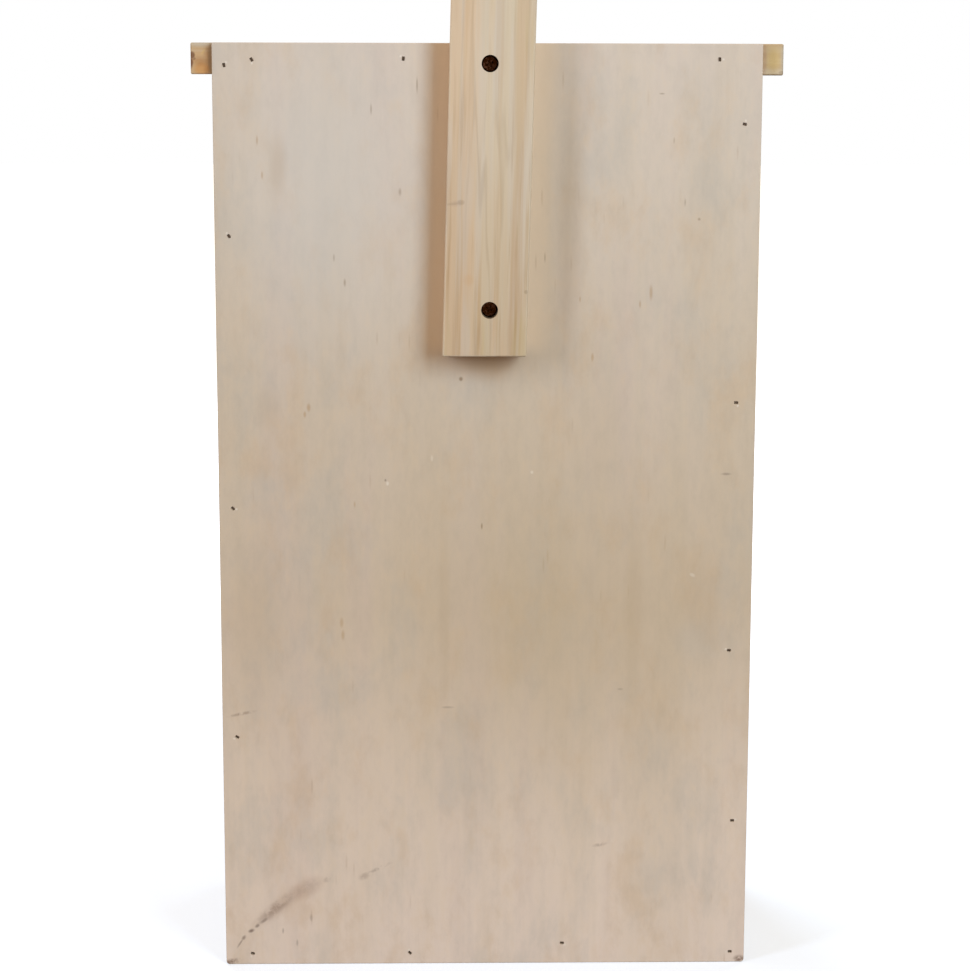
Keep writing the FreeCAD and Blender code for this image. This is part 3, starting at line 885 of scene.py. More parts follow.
@dataclass(frozen=True)
class Steel(Finish):
    """Dark steel with a little rust."""

    tone: Colour
    rust: Colour
    relief: float = 0.03 * MM

    def paint(self, bench: Bench) -> Wire:
        """Paints metal that turns to rust in patches.

        Args:
            bench: The bench of the finish.

        Returns:
            The shader.
        """
        x, y, z = bench.object_place()
        patch = bench.noise((x * 900.0, y * 900.0, z * 900.0), 3.0, 0.6)
        scratch = bench.noise((x * 2600.0, y * 300.0, z * 2600.0), 2.0)
        rusty = bench.smooth(patch, 0.5, 0.68)
        colour = bench.mix(rusty, bench.shade(self.tone, 0.8 + 0.4 * scratch), self.rust)
        normal = bench.bump(patch + scratch, self.relief)
        inputs = {"Base Color": colour, "Metallic": 1.0 - 0.9 * rusty, "Roughness": 0.34 + 0.4 * rusty,
                  "Normal": normal}
        return bench.out("ShaderNodeBsdfPrincipled", None, inputs)


@dataclass(frozen=True)
class PaleFloor(Finish):
    """A pale floor that shows white, with the object's shadow on it, and throws back a warm light."""

    tone: Colour = srgb(193, 201, 215)
    bounce: Colour = srgb(92, 62, 38)
    lift: float = 0.5
    near: float = 0.4
    far: float = 1.1

    def paint(self, bench: Bench) -> Wire:
        """Adds white to the floor for the rays that show it.

        Args:
            bench: The bench of the finish.

        Returns:
            The shader.
        """
        x, y, _ = bench.object_place()
        dust = bench.noise((x * 30.0, y * 30.0, 0.0), 3.0)
        colour = bench.shade(self.tone, 0.985 + 0.03 * dust)
        matt = bench.out("ShaderNodeBsdfDiffuse", None, {"Color": colour})
        warm = bench.out("ShaderNodeBsdfDiffuse", None, {"Color": self.bounce})
        far = bench.smooth(bench.length(x, y), self.near, self.far)
        glow = bench.mix(far, (self.lift, self.lift, self.lift, 1.0), (1.0, 1.0, 1.0, 1.0))
        white = bench.out("ShaderNodeEmission", None, {"Color": glow, "Strength": 1.0})
        both = bench.out("ShaderNodeAddShader", None, {0: matt, 1: white})
        return bench.out("ShaderNodeMixShader", None, {0: shown_ray(bench), 1: warm, 2: both})


def shown_ray(bench: Bench) -> Wire:
    """Picks the rays that show a backdrop: from the camera, or by way of a mirror or glass.

    Args:
        bench: The bench of the finish.

    Returns:
        1 for such a ray, and otherwise 0.
    """
    path = bench.node("ShaderNodeLightPath")
    rays = [Wire(bench, path.outputs[f"Is {kind} Ray"]) for kind in ("Camera", "Glossy", "Transmission")]
    return bench.math("MAXIMUM", bench.math("MAXIMUM", rays[0], rays[1]), rays[2])


class Form:
    """A Geometry Nodes tree with named inputs that makes one kind of repeated form."""

    def __init__(self, name: str, inputs: dict[str, str]) -> None:
        """Makes the tree and its inputs.

        Args:
            name: The tree's name.
            inputs: The kind of each input by its name.
        """
        self.tree = bpy.data.node_groups.new(name, "GeometryNodeTree")
        self.bench = Bench(self.tree)
        sockets = self.tree.interface
        sockets.new_socket("Geometry", in_out="INPUT", socket_type="NodeSocketGeometry")
        self.keys: dict[str, str] = {}
        for label, kind in {**inputs, "Material": "Material"}.items():
            socket = sockets.new_socket(label, in_out="INPUT", socket_type=f"NodeSocket{kind}")
            self.keys[label] = socket.identifier
        sockets.new_socket("Geometry", in_out="OUTPUT", socket_type="NodeSocketGeometry")
        self.source = self.bench.node("NodeGroupInput")
        self.close(self.shape())

    def shape(self) -> Wire:
        """Adds the nodes that make the form and returns its geometry."""
        raise NotImplementedError

    def wire(self, label: str) -> Wire:
        """One of the tree's inputs."""
        return Wire(self.bench, self.source.outputs[label])

    def named(self, name: str, kind: str) -> Wire:
        """An attribute of the points."""
        return self.bench.out("GeometryNodeInputNamedAttribute", {"data_type": kind}, {"Name": name})

    def object(self, label: str) -> Wire:
        """The mesh of an object input."""
        inputs = {"Object": self.wire(label)}
        return self.bench.out("GeometryNodeObjectInfo", {"transform_space": "ORIGINAL"}, inputs, "Geometry")

    def store(self, geometry: Wire, name: str, kind: str, value: Wire) -> Wire:
        """Keeps a value on the points for the finish.

        Args:
            geometry: The mesh.
            name: The attribute's name.
            kind: Its data type.
            value: What is kept.

        Returns:
            The mesh with the attribute.
        """
        settings = {"data_type": kind, "domain": "POINT"}
        inputs = {"Geometry": geometry, "Name": name, "Value": value}
        return self.bench.out("GeometryNodeStoreNamedAttribute", settings, inputs)

    def close(self, geometry: Wire) -> None:
        """Ends the tree with real meshes and their material.

        Args:
            geometry: What the form made.
        """
        real = self.bench.out("GeometryNodeRealizeInstances", None, {"Geometry": geometry})
        inputs = {"Geometry": real, "Material": self.wire("Material")}
        dressed = self.bench.out("GeometryNodeSetMaterial", None, inputs)
        self.bench.node("NodeGroupOutput", None, {0: dressed})


class SetFasteners(Form):
    """Puts a fastener at each point, turned as the point says."""

    def __init__(self) -> None:
        """Makes the tree."""
        super().__init__("set_fasteners", {"Fastener": "Object"})

    def shape(self) -> Wire:
        """Instances the fastener on the points.

        Returns:
            The fasteners, each turned as its point says.
        """
        turn = self.bench.out("FunctionNodeEulerToRotation", None, {0: self.named("turn", "FLOAT_VECTOR")})
        return self.bench.out("GeometryNodeInstanceOnPoints", None, {
            "Points": self.wire("Geometry"), "Instance": self.object("Fastener"), "Rotation": turn})


class DrillTunnels(Form):
    """Cuts a tunnel at each point of another object, and that object's drying checks."""

    def __init__(self) -> None:
        """Makes the tree."""
        super().__init__("drill_tunnels", {"Holes": "Object", "Drill": "Object", "Checks": "Object"})

    def shape(self) -> Wire:
        """Cuts the drills and the checks from the body.

        Returns:
            The cut body.
        """
        drills = self.bench.out("GeometryNodeInstanceOnPoints", None, {
            "Points": self.object("Holes"), "Instance": self.object("Drill"),
            "Scale": self.named("size", "FLOAT_VECTOR")})
        real = self.bench.out("GeometryNodeRealizeInstances", None, {"Geometry": drills})
        cut = self.bench.node("GeometryNodeMeshBoolean", {"operation": "DIFFERENCE", "solver": "EXACT"}, {
            "Mesh 1": self.wire("Geometry"), "Self Intersection": True})
        for tool in (real, self.object("Checks")):
            self.bench.feed(cut.inputs["Mesh 2"], tool)
        return Wire(self.bench, cut.outputs["Mesh"])


class TurnedForm(Form):
    """A form that is turned round an axis along +Y from rows of radius and depth."""

    sides = 48
    shape_inputs: dict[str, str] = {}

    def __init__(self, name: str) -> None:
        """Makes the tree."""
        super().__init__(name, {"Centre": "Vector", "Diameter": "Float", "Length": "Float", "Rim": "Float",
                                **self.shape_inputs})

    def rows(self) -> list[tuple[Number, Number, float]]:
        """Radius, depth from the front and zone of each row, from the rear pole to the front."""
        raise NotImplementedError

    def pick(self, index: Wire, values: Sequence[Number]) -> Wire:
        """Picks the value of one row.

        Args:
            index: The row.
            values: The values of all rows.

        Returns:
            That row's value.
        """
        settings = {"data_type": "FLOAT", "items": len(values)}
        inputs = {0: index, **{number + 1: value for number, value in enumerate(values)}}
        return self.bench.out("GeometryNodeIndexSwitch", settings, inputs)

    def turned(self) -> tuple[Wire, Wire, Wire, Wire, Wire, Wire]:
        """A plain grid, and what its points stand for.

        Returns:
            The grid, then the radius, depth, zone, and the direction's two parts of its points.
        """
        bench = self.bench
        rows = self.rows()
        grid = bench.out("GeometryNodeMeshGrid", None, {
            "Size X": 1.0, "Size Y": 1.0, "Vertices X": self.sides + 1, "Vertices Y": len(rows)})
        x, y, _ = bench.split(bench.out("GeometryNodeInputPosition"))
        row = bench.math("ROUND", (y + 0.5) * (len(rows) - 1.0))
        radius, depth, zone = (self.pick(row, values) for values in zip(*rows))
        angle = x * (2 * math.pi)
        return grid, radius, depth, zone, bench.math("COSINE", angle), bench.math("SINE", angle)

    def closed(self, grid: Wire, position: Wire) -> Wire:
        """Puts the grid's points in place and joins its seam and poles."""
        moved = self.bench.out("GeometryNodeSetPosition", None, {"Geometry": grid, "Position": position})
        return self.bench.out("GeometryNodeMergeByDistance", None, {"Geometry": moved, "Distance": WELD})


class CaneForm(TurnedForm):
    """A bamboo cane with a blind bore, a groove at its knot and an uneven outline."""

    shape_inputs = {"Seed": "Float", "Bore": "Float", "Bore Depth": "Float"}
    knot_half = 4 * MM
    groove_half = 1 * MM
    groove = 0.7 * MM
    ridge_drop = 0.2 * MM
    mouth = 8 * MM
    dish = 0.6 * MM

    def rows(self) -> list[tuple[Number, Number, float]]:
        """Lists rear, skin with the knot's groove, cut end and bore.

        Returns:
            Radius, depth and zone of each row.
        """
        outer, bore = self.wire("Diameter") * 0.5, self.wire("Bore") * 0.5
        length, bottom, rim = self.wire("Length"), self.wire("Bore Depth"), self.wire("Rim")
        knot = (length + bottom) * 0.5
        skin, end, inside = 0.0, 1.0, 2.0
        return [
            (0.0, length, skin),
            (outer - rim, length, skin),
            (outer, length - rim, skin),
            (outer, knot + self.knot_half, skin),
            (outer - self.groove, knot + self.groove_half, skin),
            (outer - self.ridge_drop, knot, skin),
            (outer - self.groove, knot - self.groove_half, skin),
            (outer, knot - self.knot_half, skin),
            (outer, length * 0.4, skin),
            (outer, rim, skin),
            (outer - rim * 0.35, rim * 0.3, skin + 0.35),
            (outer - rim, 0.0, end),
            (outer * 0.5 + bore * 0.5, 0.0, end),
            (bore + rim, 0.0, end),
            (bore + rim * 0.3, rim * 0.35, end + 0.5),
            (bore, rim * 1.2, inside),
            (bore, self.mouth, inside),
            (bore, bottom * 0.5, inside),
            (bore, bottom, inside),
            (0.0, bottom + self.dish, inside),
        ]

    def shape(self) -> Wire:
        """Turns the cane, makes it uneven and keeps what its finish reads.

        Returns:
            The cane.
        """
        bench = self.bench
        grid, radius, depth, zone, across, up = self.turned()
        outer, bore, seed = self.wire("Diameter") * 0.5, self.wire("Bore") * 0.5, self.wire("Seed")
        wall = bench.smooth(radius, bore, outer)
        lump = bench.noise((across * 0.9 + seed, up * 0.9, depth * 9.0), 1.0)
        nick = bench.noise((across * radius * 420.0 + seed, up * radius * 420.0, seed), 2.0)
        uneven = radius * (1.0 - wall * lump * 0.07)
        shift = (1.0 - wall) * outer * 0.16
        x = across * uneven + shift * (bench.chance(seed) - 0.5)
        z = up * uneven + shift * (bench.chance(seed + 5.0) - 0.5)
        at_end = bench.smooth(depth, 2 * MM, 0.0)
        deep = depth + nick * at_end * (0.7 * MM)
        centre_x, front, centre_z = bench.split(self.wire("Centre"))
        place = bench.vector(centre_x + x, front + deep, centre_z + z)
        mesh = self.store(grid, "local", "FLOAT_VECTOR", bench.vector(x, z, deep))
        mesh = self.store(mesh, "zone", "FLOAT", zone)
        mesh = self.store(mesh, "wall", "FLOAT", wall)
        mesh = self.store(mesh, "seed", "FLOAT", seed)
        mesh = self.closed(mesh, place)
        return bench.out("GeometryNodeSetShadeSmooth", None, {0: mesh, "Shade Smooth": True})


class LogBody(TurnedForm):
    """The plain round body of a log, with rows for its bark and its sawn end."""

    sides = 96
    bark_rows = 26

    def rows(self) -> list[tuple[Number, Number, float]]:
        """Lists rear, bark and sawn end.

        Returns:
            Radius, depth and zone of each row.
        """
        outer, length, rim = self.wire("Diameter") * 0.5, self.wire("Length"), self.wire("Rim")
        rows = [(0.0, length, 0.0), (outer * 0.9, length, 0.0)]
        for step in range(self.bark_rows + 1):
            share = 1.0 - step / self.bark_rows
            rows.append((outer, rim + (length - rim) * (share ** 1.4), 0.0))
        return rows + [(outer - rim, 0.0, 1.0), (outer * BARK_SHARE, 0.0, 1.0), (0.0, 0.0, 1.0)]

    def shape(self) -> Wire:
        """Turns the body.

        Returns:
            The body.
        """
        grid, radius, depth, _, across, up = self.turned()
        x, front, z = self.bench.split(self.wire("Centre"))
        place = self.bench.vector(x + across * radius, front + depth, z + up * radius)
        return self.closed(grid, place)


class BarkRelief(Form):
    """Makes a drilled log uneven, roughens its bark and keeps what its finish reads."""

    def __init__(self) -> None:
        """Makes the tree."""
        super().__init__("bark_relief", {"Centre": "Vector", "Diameter": "Float", "Seed": "Float",
                                         "Unevenness": "Float", "Bark Depth": "Float"})

    def shape(self) -> Wire:
        """Moves the points towards the log's axis.

        Returns:
            The finished log.
        """
        bench = self.bench
        x, y, z = bench.split(bench.out("GeometryNodeInputPosition"))
        centre_x, front, centre_z = bench.split(self.wire("Centre"))
        seed, outer = self.wire("Seed"), self.wire("Diameter") * 0.5
        side, rise, depth = x - centre_x, z - centre_z, y - front
        radius = bench.math("MAXIMUM", bench.length(side, rise), TINY)
        across, up, share = side / radius, rise / radius, radius / outer
        lump = bench.noise((across * 1.1 + seed, up * 1.1, depth * 4.0), 1.0)
        furrow = bench.noise((across * 9.0 + seed, up * 9.0, depth * 26.0), 3.0, 0.6)
        rough = bench.smooth(share, 0.95, 1.0) * furrow * self.wire("Bark Depth")
        scale = 1.0 - lump * self.wire("Unevenness") - rough / outer
        mesh = self.store(self.wire("Geometry"), "share", "FLOAT", share)
        mesh = self.store(mesh, "local", "FLOAT_VECTOR", bench.vector(side * scale, rise * scale, depth))
        mesh = self.store(mesh, "seed", "FLOAT", seed)
        place = bench.vector(centre_x + side * scale, y, centre_z + rise * scale)
        return bench.out("GeometryNodeSetPosition", None, {"Geometry": mesh, "Position": place})


def grow(name: str, mesh: bpy.types.Mesh, steps: Steps) -> bpy.types.Mesh:
    """Runs forms on a mesh, one after the other.

    Args:
        name: The name of the new mesh.
        mesh: What the first form starts from.
        steps: Forms and the values of their inputs by name.

    Returns:
        The result as a plain mesh.
    """
    holder = bpy.data.objects.new(f"{name}_form", mesh)
    bpy.context.scene.collection.objects.link(holder)
    for form, values in steps:
        modifier = holder.modifiers.new(form.tree.name, "NODES")
        modifier.node_group = form.tree
        for label, value in values.items():
            modifier[form.keys[label]] = value
    depsgraph = bpy.context.evaluated_depsgraph_get()
    grown = bpy.data.meshes.new_from_object(
        holder.evaluated_get(depsgraph), preserve_all_data_layers=True, depsgraph=depsgraph)
    bpy.data.objects.remove(holder)
    grown.name = name
    return grown


def mesh_of(name: str, shape: bmesh.types.BMesh) -> bpy.types.Mesh:
    """Makes a mesh from a shape, which is freed.

    Args:
        name: The mesh's name.
        shape: The shape.

    Returns:
        The mesh.
    """
    mesh = bpy.data.meshes.new(name)
    shape.to_mesh(mesh)
    shape.free()
    return mesh


def tool_of(name: str, mesh: bpy.types.Mesh) -> bpy.types.Object:
    """Makes an object that a form reads, to be put away after use.

    Args:
        name: The object's name.
        mesh: Its mesh.

    Returns:
        The object.
    """
    tool = bpy.data.objects.new(name, mesh)
    bpy.context.scene.collection.objects.link(tool)
    return tool


def put_away(*tools: bpy.types.Object) -> None:
    """Removes objects that only forms read."""
    for tool in tools:
        bpy.data.objects.remove(tool)


def points_of(name: str, places: Sequence[Vector], attribute: str,
              values: Sequence[Vector]) -> bpy.types.Mesh:
    """Loose points that each carry a vector.

    Args:
        name: The name of the mesh.
        places: Where the points are.
        attribute: The name of the vector.
        values: The vector of each point.

    Returns:
        The points as a mesh.
    """
    mesh = bpy.data.meshes.new(name)
    mesh.from_pydata([tuple(place) for place in places], [], [])
    layer = mesh.attributes.new(attribute, "FLOAT_VECTOR", "POINT")
    for item, value in zip(layer.data, values):
        item.vector = value
    return mesh


def ring_of(shape: bmesh.types.BMesh, depth: float, reaches: Sequence[float],
            sides: int) -> list[bmesh.types.BMVert]:
    """Adds a ring of points round +Y, or a pole.

    Args:
        shape: The shape that gets the points.
        depth: Their place along the axis.
        reaches: Their distances from the axis, as many as sides, or one for a pole.
        sides: The number of points in a whole ring.

    Returns:
        The points.
    """
    turns = [math.tau * index / sides for index in range(len(reaches))]
    return [shape.verts.new((reach * math.cos(turn), depth, reach * math.sin(turn)))
            for reach, turn in zip(reaches, turns)]


def rings_of(shape: bmesh.types.BMesh, rows: Sequence[tuple[float, float]],
             sides: int) -> list[list[bmesh.types.BMVert]]:
    """Adds round rings, with a pole where the radius is 0.

    Args:
        shape: The shape that gets the points.
        rows: Radius and depth of each ring.
        sides: The number of points in a ring.

    Returns:
        The rings.
    """
    return [ring_of(shape, depth, [radius] * (sides if radius > 0 else 1), sides) for radius, depth in rows]


def join_rings(shape: bmesh.types.BMesh, rings: Sequence[Sequence[bmesh.types.BMVert]], sides: int) -> None:
    """Closes a shape with faces between rings that follow each other.

    Args:
        shape: The shape.
        rings: Its rings, the first and last of them poles.
        sides: The number of points in a whole ring.
    """
    for low, high in zip(rings, rings[1:]):
        for index in range(sides):
            after = (index + 1) % sides
            corners = [low[index % len(low)], low[after % len(low)],
                       high[after % len(high)], high[index % len(high)]]
            shape.faces.new(list(dict.fromkeys(corners)))
    bmesh.ops.recalc_face_normals(shape, faces=shape.faces)


def join_ends(shape: bmesh.types.BMesh, first: Sequence[bmesh.types.BMVert],
              second: Sequence[bmesh.types.BMVert]) -> None:
    """Closes a wedge between two end outlines.

    Args:
        shape: The shape.
        first: The points of one end.
        second: As many points of the other.
    """
    shape.faces.new(first)
    shape.faces.new(second)
    for index in range(len(first)):
        after = (index + 1) % len(first)
        shape.faces.new((first[index], first[after], second[after], second[index]))


def is_sharp(edge: bmesh.types.BMEdge) -> bool:
    """True for an edge that stands out sharply."""
    return len(edge.link_faces) == 2 and edge.is_convex and edge.calc_face_angle(0.0) > SHARP_ANGLE


def is_outer(edge: bmesh.types.BMEdge, low: Vector, high: Vector) -> bool:
    """Tells an outer edge of a board from the rim of a hole in it.

    Args:
        edge: The edge.
        low: The board's lowest corner.
        high: Its highest corner.

    Returns:
        True for an outer edge.
    """
    middle = (edge.verts[0].co + edge.verts[1].co) / 2
    near = sum(min(middle[axis] - low[axis], high[axis] - middle[axis]) < EDGE_REACH for axis in range(3))
    return near >= 2 or edge.calc_length() > LONG_EDGE


def eased_copy(source: bpy.types.Object, ease: float) -> bmesh.types.BMesh:
    """A merged copy of a CAD node with its outer edges eased.

    Args:
        source: The node's object.
        ease: The width of the eased edges.

    Returns:
        The shape, whose eased faces carry the attribute worn.
    """
    shape = bmesh.new()
    shape.from_mesh(source.data)
    bmesh.ops.remove_doubles(shape, verts=shape.verts, dist=TINY)
    bmesh.ops.dissolve_limit(shape, angle_limit=FLAT_ANGLE, verts=shape.verts, edges=shape.edges)
    worn = shape.faces.layers.float.new("worn")
    low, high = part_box(source.name)
    sharp = [edge for edge in shape.edges if is_sharp(edge)]
    rims = [edge for edge in sharp if not is_outer(edge, low, high)]
    bmesh.ops.bevel(shape, geom=rims, offset=RIM_EASE, offset_type="OFFSET", segments=2, profile=0.5,
                    affect="EDGES", clamp_overlap=True)
    edges = [edge for edge in shape.edges if is_sharp(edge) and is_outer(edge, low, high)]
    eased = bmesh.ops.bevel(shape, geom=edges, offset=ease, offset_type="OFFSET", segments=3, profile=0.5,
                            affect="EDGES", clamp_overlap=True)
    for face in eased["faces"]:
        face[worn] = 1.0
    for face in shape.faces:
        face.smooth = False
    return shape


def settle(name: str, mesh: bpy.types.Mesh, material: bpy.types.Material, slot: str, *nodes: str) -> None:
    """Puts a finished piece on the frame in place of its CAD nodes.

    Args:
        name: The piece's name.
        mesh: Its mesh, in place.
        material: Its finish.
        slot: Not used.
        *nodes: The CAD nodes that it stands for.
    """
    mesh.name = name
    mesh.materials.clear()
    mesh.materials.append(material)
    piece = bpy.data.objects.new(name, mesh)
    bpy.context.scene.collection.objects.link(piece)
    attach(piece, "root")
    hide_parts(*nodes)
    LOG.info("%s: %d faces for %s", name, len(mesh.polygons), ", ".join(nodes))


@dataclass
class BackPanel:
    """The plywood back."""

    nodes: dict[str, bpy.types.Object]
    brads: Sequence[Vector]
    ease: float = 0.5 * MM
    dent_shade_and_rust: tuple[float, float, float] = (1.6, 1.4, 0.5)
    chip: tuple[float, float, float] = (1.1, 0.8, 0.5)
    chip_step: float = 2.0
    chip_turn: float = 2.4
    marks: tuple[Mark, ...] = marks_of({
        Stain.OLIVE: ((-38, 205, 150, 150, 0.34),),
        Stain.PALE: ((88, 448, 78, 135, 0.52),),
        Stain.DAMP_AND_SHADE: (
            (115, 459, 7, 24, 0.3), (-60, 330, 22, 90, 0.12), (132, 200, 22, 80, 0.2),
            (-123, 215, 16, 40, 0.2), (-83, 215, 8, 60, 0.22), (122, 324, 10, 18, 0.2),
            # The last two damp marks are painted shade: beside the batten on its -X side, and under its
            # foot
            (24, 205, 5, 70, 0.22), (-46, 430, 11, 95, 0.25), (2, 351, 28, 9, 0.55)),
        # Painted shade under the batten's foot
        Stain.AMBER_AND_SHADE: ((2, 350, 32, 14, 0.13),),
        Stain.DUST: ((-121, 192, 22, 18, 0.25),),
        Stain.ROSE: ((103, 46, 14, 8, 0.2, -0.5),),
        Stain.SMEAR: ((119, 35, 26, 6.4, 0.4, -0.68),),
        Stain.SCUFF: (
            (121, 34, 20, 4.4, 0.44, -0.7), (103, 46, 13, 5.5, 0.16, -0.5), (91.5, 51, 3.4, 2.2, 0.3, -0.6),
            (70, 53, 4.5, 3, 0.35, -0.5), (-65.7, 71.4, 6, 1.6, 0.4, -0.2),
            (139, 149.6, 11, 1.4, 0.5, -0.2), (62, 57.5, 12, 1.5, 0.36, -0.45),
            (148, 1.5, 9, 2.4, 0.9, -0.2), (-147.5, 2, 5, 3, 0.9)),
        Stain.RUST: (
            (99.3, 325.3, 1.6, 3.4, 0.45), (101.5, 321.4, 1.2, 2.6, 0.45), (81.9, 202.6, 1.6, 4.2, 0.34),
            (81.2, 195.4, 1.5, 4.2, 0.36), (-90.6, 389.4, 1.4, 6, 0.42), (-84.6, 383, 0.9, 3, 0.4),
            (-58.5, 353.5, 1.2, 3.4, 0.42), (-51.3, 385.7, 0.8, 2.4, 0.4), (126, 472.5, 0.9, 3.6, 0.4),
            (123.5, 453.6, 0.9, 3, 0.4), (74.1, 270.5, 0.9, 2.6, 0.35)),
        Stain.FLECK: (
            (78.7, 394.8, 1, 3.2, 0.45), (-31.7, 408.8, 0.7, 4, 0.35), (2.8, 258, 0.8, 2.6, 0.6),
            (14.6, 341.3, 1.6, 1.8, 0.7), (63.7, 489.4, 0.8, 4.2, 0.4), (38.6, 502.4, 0.7, 6, 0.45),
            (48.1, 444.6, 1.2, 3, 0.4), (84.6, 408.5, 0.8, 3, 0.35), (-95.1, 498.1, 2.2, 0.7, 0.45),
            (-102.1, 472.8, 0.7, 2.6, 0.3), (-108.7, 439.1, 0.7, 3, 0.35), (-116.6, 429.9, 1.2, 1.2, 0.45)),
        Stain.SPECK: (
            (56.8, 284.2, 0.9, 1.2, 0.5), (141.8, 13, 5, 0.8, 0.5, -1), (139.8, 16.1, 2.4, 1.4, 0.6, -1),
            (135.4, 20.3, 2.6, 1.5, 0.75, -0.4), (131.9, 23.3, 2.2, 1.4, 0.6, -0.7),
            (128, 26.4, 4, 1.4, 0.5, -0.6), (117.1, 20.2, 0.8, 2.4, 0.4), (109, 12.9, 0.9, 3, 0.35),
            (100.8, 28, 1.2, 3, 0.25), (-134.3, 287.6, 4, 1.1, 0.4), (22, 153.1, 5, 1, 0.28),
            (-76.2, 163.5, 2.4, 1, 0.25)),
        Stain.CHIP: (
            (55.6, 282.4, 1.1, 1.7, 0.5), (30.8, 296.6, 1, 2.4, 0.28), (-25.2, 288.7, 1.2, 1.3, 0.4),
            (-116.2, 229.8, 2.3, 1.4, 0.3, 0.5)),
    })

    def build(self) -> None:
        """Eases the panel's edges and dresses it, with a chip and a dark ring at each brad, partly rust and
        partly painted shade of a dent.
        """
        marks = list(self.marks)
        for index, head in enumerate(self.brads):
            x, z, turn = head.x / MM, head.z / MM, self.chip_turn * index
            across, up = x - self.chip_step * math.cos(turn), z + self.chip_step * math.sin(turn)
            # A dark ring round the brad: partly rust, partly painted shade of a dent
            marks.append(Mark(Stain.DENT_SHADE_AND_RUST, x, z, *self.dent_shade_and_rust))
            marks.append(Mark(Stain.CHIP, across, up, *self.chip, turn))
        mesh = mesh_of("back_panel", eased_copy(self.nodes["back_panel"], self.ease))
        finish = Plywood("poplar_plywood", tuple(marks))
        settle("panel", mesh, finish.material(), "plywood", "back_panel")


@dataclass
class CaseBoards:
    """The boards of the case, each sawn from its own place in a trunk."""

    nodes: dict[str, bpy.types.Object]
    ease: float = 0.8 * MM
    rear: float = 72 * MM
    roof_marks: tuple[Mark, ...] = marks_of({
        Stain.DUST: ((156, 524.5, 9, 2.5, 0.35), (-162, 517, 2.4, 12, 0.5)),
        Stain.GOLD: (
            (155, 520, 2.6, 1.1, 0.6, -0.9), (158, 514.5, 2.2, 0.9, 0.5, -0.9),
            (-156.5, 516.5, 5.5, 9, 0.75)),
        Stain.AMBER_AND_SHADE: ((156, 511, 7, 5.5, 0.8), (157, 517, 12, 7, 0.3)),
        Stain.RESIN: ((157, 515, 5, 4, 0.45),),
        Stain.ROSE: ((-150.6, 516.5, 3, 14, 0.42),),
        # The first of these marks is the back panel's painted shadow on the +X roof end, along the panel's
        # edge
        Stain.SCRATCH_AND_SHADOW: (
            (150.4, 516, 2.8, 14, 0.6), (-161, 509.5, 2, 1.4, 0.35), (-156, 507.4, 12, 1.9, 0.5)),
        Stain.KNOT: (
            (162.4, 513.6, 2.2, 4.2, 0.8, 0.25), (161.4, 518.2, 2.4, 2.6, 0.75),
            (160.2, 516.4, 1.4, 1.1, 0.5)),
    })

    def finishes(self) -> dict[str, SawnWood]:
        """Saws each board from its own place.

        Returns:
            The finish of each board by its node.
        """
        return {
            "roof_board": self.pine("roof_pine", Grain.X, (-0.02, 0.47), (0.0, 0.015), (
                Knot(-64 * MM, 1.75, 7 * MM),), self.roof_marks),
            "floor_board": self.pine("floor_pine", Grain.X, (0.0, 0.05), (0.0, -0.02)),
            "left_side_board": self.pine("left_side_pine", Grain.Z, (-0.095, -0.012), (0.03, 0.03), (
                Knot(318 * MM, -2.9, 8 * MM), Knot(120 * MM, 2.75, 5 * MM))),
            "right_side_board": self.pine("right_side_pine", Grain.Z, (0.09, 0.014), (-0.03, 0.03), (
                Knot(196 * MM, 0.3, 7 * MM), Knot(430 * MM, -0.35, 4.5 * MM))),
            "upper_shelf": self.pine("upper_shelf_pine", Grain.X, (0.0, 0.43), (0.0, 0.02)),
            "lower_shelf": self.pine("lower_shelf_pine", Grain.X, (0.01, 0.14), (0.0, -0.02)),
            "left_attic_divider": self.pine("left_divider_pine", Grain.Z, (-0.02, 0.05), (0.02, 0.0)),
            "right_attic_divider": self.pine("right_divider_pine", Grain.Z, (0.1, -0.03), (0.0, 0.02)),
        }

    def pine(self, name: str, grain: Grain, pith: tuple[float, float], lean: tuple[float, float],
             knots: tuple[Knot, ...] = (), marks: tuple[Mark, ...] = ()) -> SawnWood:
        """The pine of one board."""
        return SawnWood(name, marks, self.rear, grain, pith, lean, knots=knots)

    def build(self) -> None:
        """Eases and dresses each board."""
        for node, finish in self.finishes().items():
            mesh = mesh_of(node, eased_copy(self.nodes[node], self.ease))
            name = f"{node.removesuffix('_board')}_plank"
            settle(name, mesh, finish.material(), "softwood", node)


